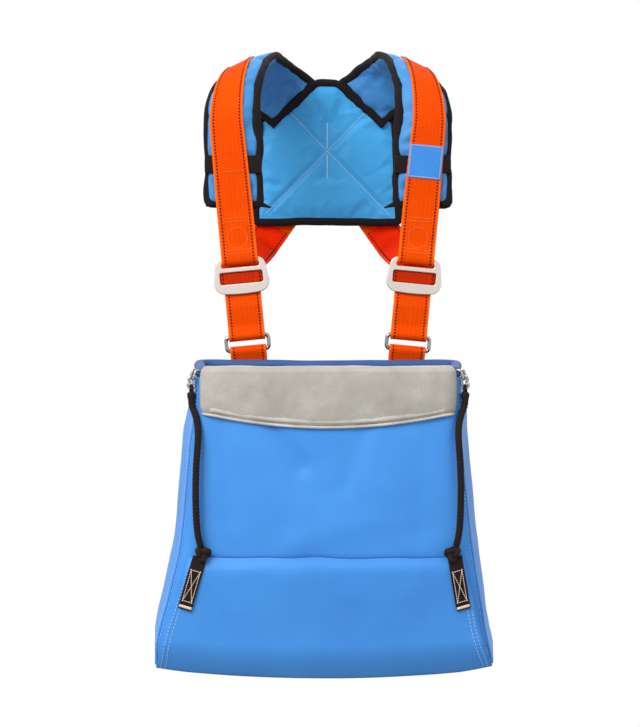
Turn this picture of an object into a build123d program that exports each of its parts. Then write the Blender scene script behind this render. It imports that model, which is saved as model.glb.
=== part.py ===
"""Fruit harvest bag with a padded shoulder harness and a drop-bottom chute.

Millimetres, +Z up, -Y to the front, +X to the right as seen from the front.
The origin lies between the shoulders, on the underside of the pads at their crest.
"""
import os
from math import asin, cos, pi, radians, sin, sqrt, tan

from build123d import *

# Webbing and cloth
STRAP_WIDTH = 46.5
STRAP_THICK = 2.4
LAYER_GAP = 0.3
WALL = 2.5

# Shoulder pads
PAD_WIDTH = 75.0
PAD_END_WIDTH = 86.0
PAD_THICK = 14.0
PAD_EDGE = 6.0
PAD_SLOPE = 8.0
PAD_FRONT_X = 121.7
PAD_CREST_X = 107.0
PAD_DROP = 181.0
PAD_TURN_DROP = 72.0
PAD_NECK_SHIFT = 5.3
STRAP_CREST_SHIFT = 6.0
SHOULDER_ROLL = 29.0
BIND_WIDTH = 8.0
BIND_THICK = 8.5
BAND_WIDTH = 23.0
BAND_THICK = 1.0
BAND_DROP = 127.0
BAND_GAP = 0.3

# Depth of the harness: straps hang in front of the wearer, the panel lies behind
STRAP_Y = -115.0
HARNESS_DEPTH = 225.0

# Back panel
PANEL_TOP_Z = -6.0
PANEL_TOP_WIDTH = 30.0
PANEL_SHOULDER_WIDTH = 158.0
PANEL_SHOULDER_DROP = 63.0
PANEL_SIDE_WIDTH = 190.0
PANEL_SIDE_DROP = 71.0
PANEL_BOTTOM_WIDTH = 204.0
PANEL_HEIGHT = 197.0
PANEL_THICK = 9.0
PANEL_CORNER = 9.0
PANEL_CROWN = 1.5
PANEL_CROWN_SLOPE = 70.0
PANEL_BIND_WIDTH = 9.0
QUILT_WIDTH = 2.5
QUILT_DEPTH = 1.0
QUILT_LINE = 74.0
PANEL_STRAP_INSET = 30.0
PANEL_STRAP_OVERRUN = 2.0

# Strap line in front, leaning in towards the bag
STRAP_LEAN = 5.4
RING_X = 103.0
RING_Z = -356.0
BUCKLE_RISE = 88.0
SEWN_LENGTH = 74.0
LOOP_LEAD = 4.0
LOOP_JOIN = 16.0
FOLD_TAIL = 8.0

# Side strap: drop below the panel, turn round its edge, straight run into the buckle
SIDE_DROP = 14.0
SIDE_TURN = 12.0
SIDE_RUN_IN = 40.0
SIDE_TAIL_INSET = 2.0

# Adjuster buckle, heights measured from its middle
FRAME_TOP_WIDTH = 62.0
FRAME_BOTTOM_WIDTH = 75.0
FRAME_HEIGHT = 43.5
FRAME_BULGE = 3.0
FRAME_THICK = 4.0
FRAME_TOP_RADIUS = 11.0
FRAME_BOTTOM_RADIUS = 14.0
FRAME_EDGE = 1.2
TOP_BAR = 6.0
TOP_SLOT = 5.8
MIDDLE_BAR = 6.0
MAIN_SLOT = 15.0
MAIN_SLOT_WIDTH = 55.0
SLOT_RADIUS = 2.4
STRAP_SIDE_GAP = 1.0
METAL_GAP = 0.4
PIN_DIAMETER = 6.0
PIN_FIT = 0.05
PIN_CHAMFER = 0.5
LUG_THICK = 4.0
LUG_MARGIN = 2.2
GUARD_WIDTH = 61.0
GUARD_HEIGHT = 34.0
GUARD_THICK = 2.0
GUARD_CORNER = 4.0

# Strap rings
RING_WIRE = 5.0
RING_SIDE_GAP = 1.6
RING_PITCH = 18.0
RING_CORNER = 4.8
LOOP_PLAY = 1.4
LOOP_SEAT = 0.9
LOOP_NECK = 13.0
LOOP_OVERLAP = 20.0

# Bag
RIM_DROP = 18.5
BAG_HEIGHT = 355.0
BAG_DEPTH = 182.0
RIM_BACK_WIDTH = 344.0
RIM_FRONT_WIDTH = 317.0
CHEST_DROP = 75.0
CHEST_BACK_WIDTH = 371.0
CHEST_FRONT_WIDTH = 328.0
WAIST_DROP = 215.0
WAIST_BACK_WIDTH = 393.0
WAIST_FRONT_WIDTH = 354.0
BASE_BACK_WIDTH = 432.0
BASE_FRONT_WIDTH = 411.0
BACK_CORNER = 26.0
FRONT_CORNER = 20.0
SEAM_INSET = 12.0
TAB_LENGTH = 70.0

# Rim
ROD_DIAMETER = 8.0
ROD_GAP = 0.3
HEM_THICK = 2.7
RIM_PAD_THICK = 5.0
RIM_PAD_TOP = 2.2
RIM_PAD_CROWN = 1.0
RIM_PAD_DROP = 64.5
RIM_PAD_SAG = 21.0
RIM_PAD_LIP = 24.0
RIM_PAD_WRAP = 43.0
PIPING_DIAMETER = 4.0

# Wire eyes, hooks and cord ends at the rim
WIRE = 3.2
EYE_ANGLE = 66.0
EYE_WIDTH = 10.0
EYE_REACH = 14.8
EYE_RISE = 3.5
EYE_DROP = 8.0
EYE_BEND = 3.5
HOOK_EYE_RADIUS = 3.9
HOOK_EYE_SWEEP = 255.0
HOOK_BEND_RADIUS = 4.4
HOOK_BEND_SWEEP = 205.0
HOOK_SHANK = 6.5
LOOP_CORD = 3.0
LOOP_LEG = 4.5
SLEEVE_DIAMETER = 10.2
SLEEVE_LENGTH = 9.0
CORD_DIAMETER = 8.0
CORD_EXIT = 7.0

# Chute
FLOOR_THICK = 3.0
FLOOR_GAP = 0.9
FLAP_HEIGHT = 135.0
FLAP_TOP_WIDTH = 332.0
FLAP_THICK = 3.0
LINING_THICK = 2.0
LINING_MARGIN = 8.0
FLAP_CORNER = 10.0
TAB_WIDTH = 17.0
FLAP_TAB_LENGTH = 64.0
FLAP_TAB_THICK = 2.0
FLAP_TAB_INSET = 2.0
FLAP_TAB_RISE = 6.0
KNOT_DIAMETER = 16.0
KNOT_SEAT = 5.8
KNOT_FORWARD = 3.2
KNOT_CORD_SEAT = 6.1
BELLOWS_HEIGHT = 22.0
BELLOWS_THICK = 1.2

# Label patch
LABEL_SIZE = 43.0
LABEL_THICK = 0.8
LABEL_CORNER = 1.5
LABEL_DROP = 124.0

# Worked-out places
BACK_Y = STRAP_Y + HARNESS_DEPTH
STRAP_RIDE = BAND_GAP + BAND_THICK + LAYER_GAP
PAD_FRONT_Y = STRAP_Y + STRAP_THICK / 2 + STRAP_RIDE + PAD_THICK / 2
CREST_Z = PAD_THICK / 2 * cos(radians(SHOULDER_ROLL))
UP = Vector(sin(radians(STRAP_LEAN)), 0, cos(radians(STRAP_LEAN)))
ACROSS = Vector(cos(radians(STRAP_LEAN)), 0, -sin(radians(STRAP_LEAN)))
FRONT = Vector(0, -1, 0)
RING_CENTRE = Vector(RING_X, STRAP_Y, RING_Z)
RING_PLANE = Plane(RING_CENTRE, x_dir=ACROSS, z_dir=FRONT)
BUCKLE_CENTRE = RING_CENTRE + UP * BUCKLE_RISE
BUCKLE_PLANE = Plane(BUCKLE_CENTRE, x_dir=ACROSS, z_dir=FRONT)
LAYER = STRAP_THICK + LAYER_GAP
WIRE_Z = RING_Z - RING_PITCH / 2 * cos(radians(STRAP_LEAN))
HEM_RADIUS = ROD_DIAMETER / 2 + ROD_GAP + HEM_THICK
RIM_Z = WIRE_Z - RIM_DROP
BAG_BACK_Y = STRAP_Y - LAYER_GAP / 2 - STRAP_THICK - LAYER_GAP
BAG_FRONT_Y = BAG_BACK_Y - BAG_DEPTH
BASE_Z = RIM_Z - BAG_HEIGHT
SEAM_START = Vector(PANEL_TOP_WIDTH / 2, BACK_Y, PANEL_TOP_Z)
SEAM_END = Vector(PANEL_SHOULDER_WIDTH / 2, BACK_Y, PANEL_TOP_Z - PANEL_SHOULDER_DROP)
SEAM_MIDDLE = (SEAM_START + SEAM_END) * 0.5
SEAM_ACROSS = (SEAM_END - SEAM_START).normalized()
PANEL_BOTTOM_Z = PANEL_TOP_Z - PANEL_HEIGHT
ARCH_STEP = 0.1
PANEL_OUTER = max(PANEL_THICK, BIND_THICK) / 2 + STRAP_RIDE
BACK_STRAP_END = Vector(PANEL_STRAP_INSET - PANEL_BOTTOM_WIDTH / 2, 0, PANEL_BOTTOM_Z - PANEL_STRAP_OVERRUN)


def section_plane(point, across, along):
    """Plane of a strap's or pad's cross-section: x across it, y out of its face."""
    outward = across.cross(along).normalized()
    return Plane(point, x_dir=across, z_dir=across.cross(outward))


def lofted(sections):
    return loft(sections, ruled=True)


def ribbon(stations, width, thick):
    """Flat band through stations of (point, across, along)."""
    return lofted([section_plane(*station) * Rectangle(width, thick) for station in stations])


def belt_stations(plane, route):
    """Stations along a route of (forward, up) points in a buckle's or ring's own plane."""
    points = [plane.from_local_coords(Vector(0, up, forward)) for forward, up in route]
    stations = []
    for index, point in enumerate(points):
        before = points[max(index - 1, 0)]
        after = points[min(index + 1, len(points) - 1)]
        stations.append((point, plane.x_dir, (after - before).normalized()))
    return stations


def arc_route(forward, up, radius, start, end, steps):
    """Points of an arc about (forward, up), angles from straight ahead, upwards positive."""
    angles = [radians(start + (end - start) * step / steps) for step in range(steps + 1)]
    return [(forward + radius * cos(angle), up + radius * sin(angle)) for angle in angles]


def arch_share(turn):
    """How far a turn lies along its half of the shoulder's arch: front to crest, or crest to seam."""
    height = sin(radians(turn))
    return height ** 2 if turn <= 90 else 1 - height


def arch_across(turn, front_angle):
    """Direction across a band on the arch, sloping from its front angle to the panel's seam."""
    share = arch_share(turn)
    if turn <= 90:
        angle = front_angle + (SHOULDER_ROLL - front_angle) * share
    else:
        angle = SHOULDER_ROLL + (degrees_below(SEAM_ACROSS) - SHOULDER_ROLL) * share
    return Vector(cos(radians(angle)), 0, -sin(radians(angle)))


def arch_place(turn, offset, shift):
    """Point on the pads' middle surface, turned from 0 at the front to 180 at the panel's seam.

    It lies offset from the arch's own line at the front, and shift from it at the crest."""
    height = sin(radians(turn))
    share = arch_share(turn)
    crest = Vector(PAD_CREST_X, 0, CREST_Z)
    if turn <= 90:
        x = PAD_FRONT_X + (crest.X - PAD_FRONT_X) * share
        z = -PAD_TURN_DROP + (crest.Z + PAD_TURN_DROP) * height
        point = Vector(x, PAD_FRONT_Y * cos(radians(turn)), z)
        aside = offset + (shift - offset) * share
    else:
        drop = SEAM_MIDDLE - Vector(crest.X, BACK_Y, crest.Z)
        point = crest + Vector(0, -BACK_Y * cos(radians(turn)), 0) + drop * share
        aside = shift * (1 - share)
    return point + arch_across(turn, 0) * aside


def shoulder_stations(front_x, front_angle, rise, end_rise, shift, steps=6):
    """Stations of a band over the arch; rise lifts it off the pad's middle surface."""
    offset = front_x - PAD_FRONT_X
    stations = []
    for step in range(2 * steps + 1):
        turn = 90 * step / steps
        point = arch_place(turn, offset, shift)
        before = arch_place(max(turn - ARCH_STEP, 0), offset, shift)
        after = arch_place(min(turn + ARCH_STEP, 180), offset, shift)
        along = (after - before).normalized()
        across = arch_across(turn, front_angle)
        lift = rise if turn <= 90 else rise + (end_rise - rise) * arch_share(turn)
        outward = across.cross(along).normalized()
        stations.append((point + outward * lift, across, along))
    return stations


def degrees_below(direction):
    """Angle of a direction below the X axis, in degrees."""
    return direction.get_angle(Vector(1, 0, 0))


def write(name, part):
    export_step(part, f"parts/{name}.step")


def write_side(name, right_part, side):
    """Write a piece modelled on the right, mirrored if it belongs on the left."""
    write(name, right_part if side == "right" else mirror(right_part, about=Plane.YZ))


def both_sides(name, right_part):
    for side in ("left", "right"):
        write_side(f"{name}_{side}", right_part, side)


# Shoulder pads

def pad_outline(width, thick, edge):
    """Crowned pad section: flat where the strap lies, falling away to thin sewn edges."""
    half = width / 2 - BIND_WIDTH
    flat = half - PAD_SLOPE
    top = thick / 2
    rim = edge / 2
    shoulder = (flat + 0.62 * PAD_SLOPE, rim + 0.76 * (top - rim))
    lines = [
        Line((-flat, top), (flat, top)),
        ThreePointArc((flat, top), shoulder, (half, rim)),
        Line((half, rim), (half, -rim)),
        ThreePointArc((half, -rim), (shoulder[0], -shoulder[1]), (flat, -top)),
        Line((flat, -top), (-flat, -top)),
        ThreePointArc((-flat, -top), (-shoulder[0], -shoulder[1]), (-half, -rim)),
        Line((-half, -rim), (-half, rim)),
        ThreePointArc((-half, rim), (-shoulder[0], shoulder[1]), (-flat, top)),
    ]
    return make_face(lines)


def pad_stations():
    along = Vector(0, 0, 1)
    across = Vector(1, 0, 0)
    low = Vector(PAD_FRONT_X, PAD_FRONT_Y, -PAD_DROP + BIND_WIDTH)
    return [(low, across, along)] + shoulder_stations(PAD_FRONT_X, 0, 0, 0, -PAD_NECK_SHIFT)


def pad_width(index, count):
    """The pad is even down the front, and widens over the shoulder to its sewn end."""
    share = max(0, index - 1) / (count - 2)
    return PAD_WIDTH + (PAD_END_WIDTH - PAD_WIDTH) * share


def pad_thickness(index, count):
    """The pad thins over its last stations, down to the panel that it is sewn to."""
    arch = (count - 2) // 2
    share = max(0.0, (index - 1 - arch) / arch)
    return PAD_THICK + (PANEL_THICK - PAD_THICK) * (1 - cos(radians(90 * share)))


def shoulder_pad():
    stations = pad_stations()
    count = len(stations)
    sections = []
    for index, station in enumerate(stations):
        outline = pad_outline(pad_width(index, count), pad_thickness(index, count), PAD_EDGE)
        sections.append(section_plane(*station) * outline)
    return lofted(sections)


def pad_binding():
    """Tape sewn round the pad's two long edges and its front end."""
    stations = pad_stations()
    strips = []
    for side in (-1, 1):
        moved = []
        for index, (point, across, along) in enumerate(stations):
            shift = (pad_width(index, len(stations)) - BIND_WIDTH) / 2
            moved.append((point + across * (side * shift), across, along))
        strips.append(ribbon(moved, BIND_WIDTH, BIND_THICK))
    end = Pos(PAD_FRONT_X, PAD_FRONT_Y, -PAD_DROP + BIND_WIDTH / 2) * Box(PAD_WIDTH, BIND_THICK, BIND_WIDTH)
    return Compound(strips + [end])


def keeper_band():
    inner_width = PAD_WIDTH + 2 * BAND_GAP
    inner_thick = PAD_THICK + 2 * BAND_GAP
    inner_radius = PAD_THICK / 3
    outer = RectangleRounded(inner_width + 2 * BAND_THICK, inner_thick + 2 * BAND_THICK,
                             inner_radius + BAND_THICK)
    ring = outer - RectangleRounded(inner_width, inner_thick, inner_radius)
    return Pos(PAD_FRONT_X, PAD_FRONT_Y, -BAND_DROP) * extrude(ring, BAND_WIDTH / 2, both=True)


# Back panel

def panel_face():
    half_top = PANEL_TOP_WIDTH / 2
    half_shoulder = PANEL_SHOULDER_WIDTH / 2
    half_side = PANEL_SIDE_WIDTH / 2
    half_bottom = PANEL_BOTTOM_WIDTH / 2
    shoulder_z = PANEL_TOP_Z - PANEL_SHOULDER_DROP
    side_z = PANEL_TOP_Z - PANEL_SIDE_DROP
    right = [(half_top, PANEL_TOP_Z), (half_shoulder, shoulder_z), (half_side, side_z),
             (half_bottom, PANEL_BOTTOM_Z)]
    left = [(-x, z) for x, z in reversed(right)]
    return make_face(Polyline(*right, *left, close=True))


def panel_faces():
    """The panel's whole outline with rounded lower corners, and the cloth inside its binding."""
    outline = panel_face()
    lower = outline.vertices().sort_by(Axis.Y)[:2]
    outer = fillet(lower, PANEL_CORNER)
    return outer, offset(panel_face(), -PANEL_BIND_WIDTH, kind=Kind.INTERSECTION)


def facing_back(solid):
    """Turn a sketch's solid upright, its front to -Y, at the panel's depth."""
    return Pos(0, BACK_Y, 0) * Rot(90, 0, 0) * solid


def back_panel():
    """Quilted panel: cloth crowned on both faces, with the sewn cross pressed into the inner one."""
    inner = panel_faces()[1]
    core = PANEL_THICK - 2 * PANEL_CROWN
    body = extrude(inner, core / 2, both=True)
    for side in (1, -1):
        crown = extrude(inner, PANEL_CROWN, taper=PANEL_CROWN_SLOPE)
        body = body + Rot(0, 90 - 90 * side, 0) * Pos(0, 0, core / 2) * crown
    crossing = back_strap_crossing_z()
    lean = back_strap_lean()
    for angle in (lean, -lean):
        groove = Box(QUILT_WIDTH, 2 * QUILT_LINE, 2 * QUILT_DEPTH)
        body = body - Pos(0, crossing, PANEL_THICK / 2) * Rot(0, 0, angle) * groove
    upright = Box(QUILT_WIDTH, QUILT_LINE, 2 * QUILT_DEPTH)
    body = body - Pos(0, crossing, PANEL_THICK / 2) * upright
    return facing_back(body)


def back_panel_binding():
    outer, inner = panel_faces()
    return facing_back(extrude(outer - inner, BIND_THICK / 2, both=True))


# Straps of the harness

def back_strap_lean():
    run = SEAM_MIDDLE - BACK_STRAP_END
    return Vector(run.X, 0, run.Z).get_angle(Vector(0, 0, 1))


def back_strap_crossing_z():
    share = SEAM_MIDDLE.X / (SEAM_MIDDLE.X - BACK_STRAP_END.X)
    return SEAM_MIDDLE.Z + (BACK_STRAP_END.Z - SEAM_MIDDLE.Z) * share


def strap_depth(layer):
    """Distance of a back strap's middle behind the panel's middle; the second lies over the first."""
    return PANEL_OUTER + STRAP_THICK / 2 + layer * LAYER


def frame_heights():
    """Heights of the buckle frame's bars, from its middle: top, top bar, slots and bottom."""
    top = FRAME_HEIGHT / 2
    bar = top - TOP_BAR
    slot = bar - TOP_SLOT
    middle = slot - MIDDLE_BAR
    main = middle - MAIN_SLOT
    return top, bar, slot, middle, main


def shoulder_strap(layer):
    """One strap: sewn fold behind, loop round the buckle's top bar, up the front and over the pad."""
    top, bar, slot, middle, main = frame_heights()
    clear = FRAME_THICK / 2 + METAL_GAP + STRAP_THICK / 2
    spread = top + LOOP_LEAD
    joined = top + LOOP_JOIN
    route = [(-LAYER, SEWN_LENGTH), (-LAYER, joined), (-clear, spread)]
    route += arc_route(0, bar + METAL_GAP, clear, 180, 360, 8)
    route += [(clear, spread), (0, joined), (0, SEWN_LENGTH)]
    stations = belt_stations(BUCKLE_PLANE, route)
    run_top = BUCKLE_CENTRE + UP * ((-PAD_TURN_DROP - BUCKLE_CENTRE.Z) / UP.Z)
    rise = PAD_THICK / 2 + STRAP_RIDE + STRAP_THICK / 2
    arch = shoulder_stations(run_top.X, STRAP_LEAN, rise, strap_depth(layer), STRAP_CREST_SHIFT)
    return ribbon(stations + arch, STRAP_WIDTH, STRAP_THICK)


def back_strap(layer):
    """Strap across the outside of the panel, from the seam to the far lower corner."""
    depth = Vector(0, strap_depth(layer), 0)
    start = SEAM_MIDDLE + depth
    end = Vector(BACK_STRAP_END.X, BACK_Y, BACK_STRAP_END.Z) + depth
    along = (end - start).normalized()
    across = Vector(-along.Z, 0, along.X)
    turn = start + along * STRAP_WIDTH / 2
    stations = [(start, SEAM_ACROSS, along), (turn, across, along), (end, across, along)]
    return ribbon(stations, STRAP_WIDTH, STRAP_THICK)


def side_strap(layer):
    """Strap from the panel's lower corner forward under the arm to the back of the buckle."""
    start = Vector(-BACK_STRAP_END.X, BACK_Y + strap_depth(layer), BACK_STRAP_END.Z)
    lean = radians(back_strap_lean())
    along = Vector(sin(lean), 0, -cos(lean))
    across = Vector(cos(lean), 0, sin(lean))
    below = start + along * SIDE_DROP
    round_edge = below + along * SIDE_TURN + Vector(0, -strap_depth(layer), 0)
    end = BUCKLE_PLANE.from_local_coords(Vector(0, 0, side_strap_forward()))
    run = (end - round_edge).normalized()
    near_end = end - run * SIDE_RUN_IN
    middle = (round_edge + near_end) * 0.5
    stations = [
        (start, across, along),
        (below, across, (along + run * 0.4).normalized()),
        (round_edge, across, (along * 0.4 + run).normalized()),
        (middle, (across + ACROSS).normalized(), run),
        (near_end, ACROSS, run),
        (end, ACROSS, Vector(0, -0.5, -0.87)),
        (end - UP * (GUARD_HEIGHT / 2 - SIDE_TAIL_INSET), ACROSS, UP * -1),
    ]
    return ribbon(stations, STRAP_WIDTH, STRAP_THICK)


def strap_label():
    """Bare cloth patch sewn on the front of the right strap."""
    rise = (-LABEL_DROP - BUCKLE_CENTRE.Z) / UP.Z
    forward = STRAP_THICK / 2 + LAYER_GAP / 2 + LABEL_THICK / 2
    patch = RectangleRounded(LABEL_SIZE, LABEL_SIZE, LABEL_CORNER)
    return BUCKLE_PLANE * Pos(0, rise, forward) * extrude(patch, LABEL_THICK / 2, both=True)


# Buckles

def pin_place():
    """Forward and up places of the pin that carries the lower strap, behind the middle bar."""
    top, bar, slot, middle, main = frame_heights()
    wrap = PIN_DIAMETER / 2 + METAL_GAP + STRAP_THICK / 2
    forward = -FRAME_THICK / 2 - METAL_GAP - STRAP_THICK / 2 - wrap
    return forward, middle, wrap


def lug_middle():
    return MAIN_SLOT_WIDTH / 2 + STRAP_SIDE_GAP + LUG_THICK / 2


def guard_forward():
    forward, up, wrap = pin_place()
    return forward - wrap - STRAP_THICK / 2 - METAL_GAP - GUARD_THICK / 2


def side_strap_forward():
    return guard_forward() - GUARD_THICK / 2 - LAYER_GAP - STRAP_THICK / 2


def buckle_frame():
    top, bar, slot, middle, main = frame_heights()
    left = (-FRAME_BOTTOM_WIDTH / 2, -top)
    right = (FRAME_BOTTOM_WIDTH / 2, -top)
    sides = Polyline(left, (-FRAME_TOP_WIDTH / 2, top), (FRAME_TOP_WIDTH / 2, top), right)
    outline = make_face([*sides.edges(), ThreePointArc(right, (0, -top - FRAME_BULGE), left)])
    outline = fillet(outline.vertices().sort_by(Axis.Y)[-2:], FRAME_TOP_RADIUS)
    outline = fillet(outline.vertices().sort_by(Axis.Y)[:2], FRAME_BOTTOM_RADIUS)
    upper = RectangleRounded(STRAP_WIDTH + 2 * STRAP_SIDE_GAP, TOP_SLOT, SLOT_RADIUS)
    lower = RectangleRounded(MAIN_SLOT_WIDTH, MAIN_SLOT, SLOT_RADIUS)
    face = outline - Pos(0, (bar + slot) / 2) * upper - Pos(0, (middle + main) / 2) * lower
    plate = extrude(face, FRAME_THICK / 2, both=True)
    rims = plate.faces().filter_by(Axis.Z).edges()
    plate = fillet(rims, FRAME_EDGE)
    forward, up, wrap = pin_place()
    depth = -forward + PIN_DIAMETER / 2 + LUG_MARGIN - FRAME_THICK / 2
    height = PIN_DIAMETER + 2 * LUG_MARGIN
    for side in (-1, 1):
        lug = Box(LUG_THICK, height, depth + FRAME_EDGE)
        plate = plate + Pos(side * lug_middle(), up, -FRAME_THICK / 2 - (depth - FRAME_EDGE) / 2) * lug
    bore = Rot(0, 90, 0) * Cylinder(PIN_DIAMETER / 2 + PIN_FIT, 4 * lug_middle())
    return BUCKLE_PLANE * (plate - Pos(0, up, forward) * bore)


def buckle_pin():
    forward, up, wrap = pin_place()
    pin = Rot(0, 90, 0) * Cylinder(PIN_DIAMETER / 2, 2 * lug_middle() + LUG_THICK)
    pin = chamfer(pin.edges().filter_by(GeomType.CIRCLE), PIN_CHAMFER)
    return BUCKLE_PLANE * Pos(0, up, forward) * pin


def buckle_guard():
    """Cloth patch behind the buckle, between its strap and the wearer."""
    patch = extrude(RectangleRounded(GUARD_WIDTH, GUARD_HEIGHT, GUARD_CORNER), GUARD_THICK / 2, both=True)
    return BUCKLE_PLANE * Pos(0, 0, guard_forward()) * patch


def lower_strap():
    """Strap from the buckle's pin down to the ring, folded back and sewn at both ends."""
    forward, up, wrap = pin_place()
    front = forward + wrap
    bottom = -FRAME_HEIGHT / 2 - FRAME_BULGE
    ring_up = RING_PITCH / 2 - BUCKLE_RISE
    loop_radius = RING_WIRE / 2 + LOOP_PLAY + STRAP_THICK / 2
    loop_up = ring_up + LOOP_PLAY - LOOP_SEAT
    route = [(front - LAYER, bottom - FOLD_TAIL), (front - LAYER, bottom), (forward - wrap, up - LOOP_LEAD)]
    route += arc_route(forward, up, wrap, 180, 0, 8)
    route += [(front, bottom), (0, bottom - LOOP_JOIN), (0, loop_up + LOOP_NECK)]
    route += arc_route(0, loop_up, loop_radius, LOOP_OVERLAP, -180 - LOOP_OVERLAP, 10)
    route += [(-LAYER, loop_up + LOOP_NECK), (-LAYER, bottom - LOOP_JOIN)]
    return ribbon(belt_stations(BUCKLE_PLANE, route), STRAP_WIDTH, STRAP_THICK)


# Rings

def strap_ring():
    half = STRAP_WIDTH / 2 + RING_SIDE_GAP + RING_WIRE / 2
    outline = RectangleRounded(2 * half, RING_PITCH, RING_CORNER).face().outer_wire()
    start = outline.edges()[0]
    section = Plane(start @ 0.5, z_dir=start % 0.5) * Circle(RING_WIRE / 2)
    return RING_PLANE * sweep(section, path=outline)


def bag_tab():
    """Webbing tab that hangs the bag from the ring's lower wire, sewn to the bag's back."""
    loop_radius = RING_WIRE / 2 + LOOP_PLAY + STRAP_THICK / 2
    loop_up = -RING_PITCH / 2 - LOOP_PLAY + LOOP_SEAT
    low = loop_up - RIM_DROP - TAB_LENGTH
    route = [(LAYER / 2, low), (LAYER / 2, loop_up - LOOP_NECK)]
    route += arc_route(0, loop_up, loop_radius, -LOOP_OVERLAP, 180 + LOOP_OVERLAP, 10)
    route += [(-LAYER / 2, loop_up - LOOP_NECK), (-LAYER / 2, low)]
    return ribbon(belt_stations(RING_PLANE, route), STRAP_WIDTH, STRAP_THICK)


# Bag

def bag_outline(back_width, front_width, inset):
    """Rounded four-sided outline of the bag, wider at the back, taken in by inset."""
    back = BAG_BACK_Y - inset
    front = BAG_FRONT_Y + inset
    half_back = back_width / 2 - inset
    half_front = front_width / 2 - inset
    corners = [(half_back, back), (-half_back, back), (-half_front, front), (half_front, front)]
    face = make_face(Polyline(*corners, close=True))
    face = fillet(face.vertices().sort_by(Axis.Y)[-2:], BACK_CORNER - inset)
    return fillet(face.vertices().sort_by(Axis.Y)[:2], FRONT_CORNER - inset)


def bag_loft(inset):
    wall_top = sqrt(HEM_RADIUS ** 2 - (HEM_RADIUS - WALL) ** 2) + LAYER_GAP
    levels = [
        (wall_top, RIM_BACK_WIDTH, RIM_FRONT_WIDTH),
        (CHEST_DROP, CHEST_BACK_WIDTH, CHEST_FRONT_WIDTH),
        (WAIST_DROP, WAIST_BACK_WIDTH, WAIST_FRONT_WIDTH),
        (BAG_HEIGHT, BASE_BACK_WIDTH, BASE_FRONT_WIDTH),
    ]
    sections = []
    for drop, back_width, front_width in levels:
        sections.append(Pos(0, 0, RIM_Z - drop) * bag_outline(back_width, front_width, inset))
    return lofted(sections)


def bag_panels():
    """The bag's wall, cut at its four seams into a back, a front and two gussets."""
    wall = bag_loft(0) - bag_loft(WALL)
    front_seam = Plane((0, BAG_FRONT_Y + SEAM_INSET, 0), x_dir=(1, 0, 0), z_dir=(0, -1, 0))
    back_seam = Plane((0, BAG_BACK_Y - SEAM_INSET, 0), x_dir=(1, 0, 0), z_dir=(0, 1, 0))
    front = split(wall, bisect_by=front_seam, keep=Keep.TOP)
    back = split(wall, bisect_by=back_seam, keep=Keep.TOP)
    behind_front = split(wall, bisect_by=front_seam, keep=Keep.BOTTOM)
    sides = split(behind_front, bisect_by=back_seam, keep=Keep.BOTTOM)
    left, right = sides.solids().sort_by(Axis.X)
    return front, back, left, right


def rim_wire():
    """Middle line of the rim's rod and hem."""
    return Pos(0, 0, RIM_Z) * bag_outline(RIM_BACK_WIDTH, RIM_FRONT_WIDTH, HEM_RADIUS).face().outer_wire()


def rim_tube(radius):
    path = rim_wire()
    edge = path.edges().sort_by(Axis.Y)[-1]
    section = Plane(edge @ 0.5, z_dir=edge % 0.5) * Circle(radius)
    return sweep(section, path=path)


def rim_frame():
    return rim_tube(ROD_DIAMETER / 2)


def front_corner():
    """Middle of the front right rim corner's arc, in plan."""
    side = Vector(RIM_BACK_WIDTH - RIM_FRONT_WIDTH, 2 * BAG_DEPTH, 0).normalized()
    corner = Vector(RIM_FRONT_WIDTH / 2, BAG_FRONT_Y, 0)
    inward = (side + Vector(-1, 0, 0)).normalized()
    half_angle = radians(inward.get_angle(side))
    return corner + inward * (FRONT_CORNER / sin(half_angle))


def eye_plane():
    """Plane of a wire eye: x out of the rim, y up, at the hem's middle."""
    angle = radians(EYE_ANGLE)
    out = Vector(sin(angle), -cos(angle), 0)
    middle = front_corner() + out * (FRONT_CORNER - HEM_RADIUS) + Vector(0, 0, RIM_Z)
    return Plane(middle, x_dir=out, z_dir=out.cross(Vector(0, 0, 1)))


def eye_route(width):
    half = width / 2
    foot = ROD_DIAMETER / 2 + ROD_GAP
    side = [(foot, EYE_RISE / 2), (EYE_REACH - EYE_BEND, EYE_RISE), (EYE_REACH, -EYE_DROP)]
    near = [(x, y, half) for x, y in side]
    far = [(x, y, -half) for x, y in reversed(side)]
    return FilletPolyline(*near, *far, radius=EYE_BEND)


def rim_eye_wire(radius):
    """Wire staple: two feet in the hem, a loop that hangs beside it."""
    route = eye_route(EYE_WIDTH)
    section = Plane(route @ 0, z_dir=route % 0) * Circle(radius)
    return eye_plane() * sweep(section, path=route)


def rim_hem():
    """Rolled hem round the rod, pierced by the feet of the wire eyes."""
    hem = rim_tube(HEM_RADIUS) - rim_tube(ROD_DIAMETER / 2 + ROD_GAP)
    foot = rim_eye_wire(WIRE / 2 + LAYER_GAP / 2)
    return hem - foot - mirror(foot, about=Plane.YZ)


def rim_front_path(inset):
    """Line along the front of the rim and a little way round both corners."""
    centre = front_corner()
    radius = FRONT_CORNER - inset
    wrap = radians(RIM_PAD_WRAP)
    straight = centre + Vector(0, -radius, 0)
    half_way = centre + Vector(radius * sin(wrap / 2), -radius * cos(wrap / 2), 0)
    end = centre + Vector(radius * sin(wrap), -radius * cos(wrap), 0)
    right = [(point.X, point.Y, RIM_Z) for point in (straight, half_way, end)]
    left = [(-x, y, z) for x, y, z in right]
    arc_left = ThreePointArc(left[2], left[1], left[0])
    arc_right = ThreePointArc(right[0], right[1], right[2])
    return Wire([arc_left.edge(), Line(left[0], right[0]).edge(), arc_right.edge()])


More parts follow.
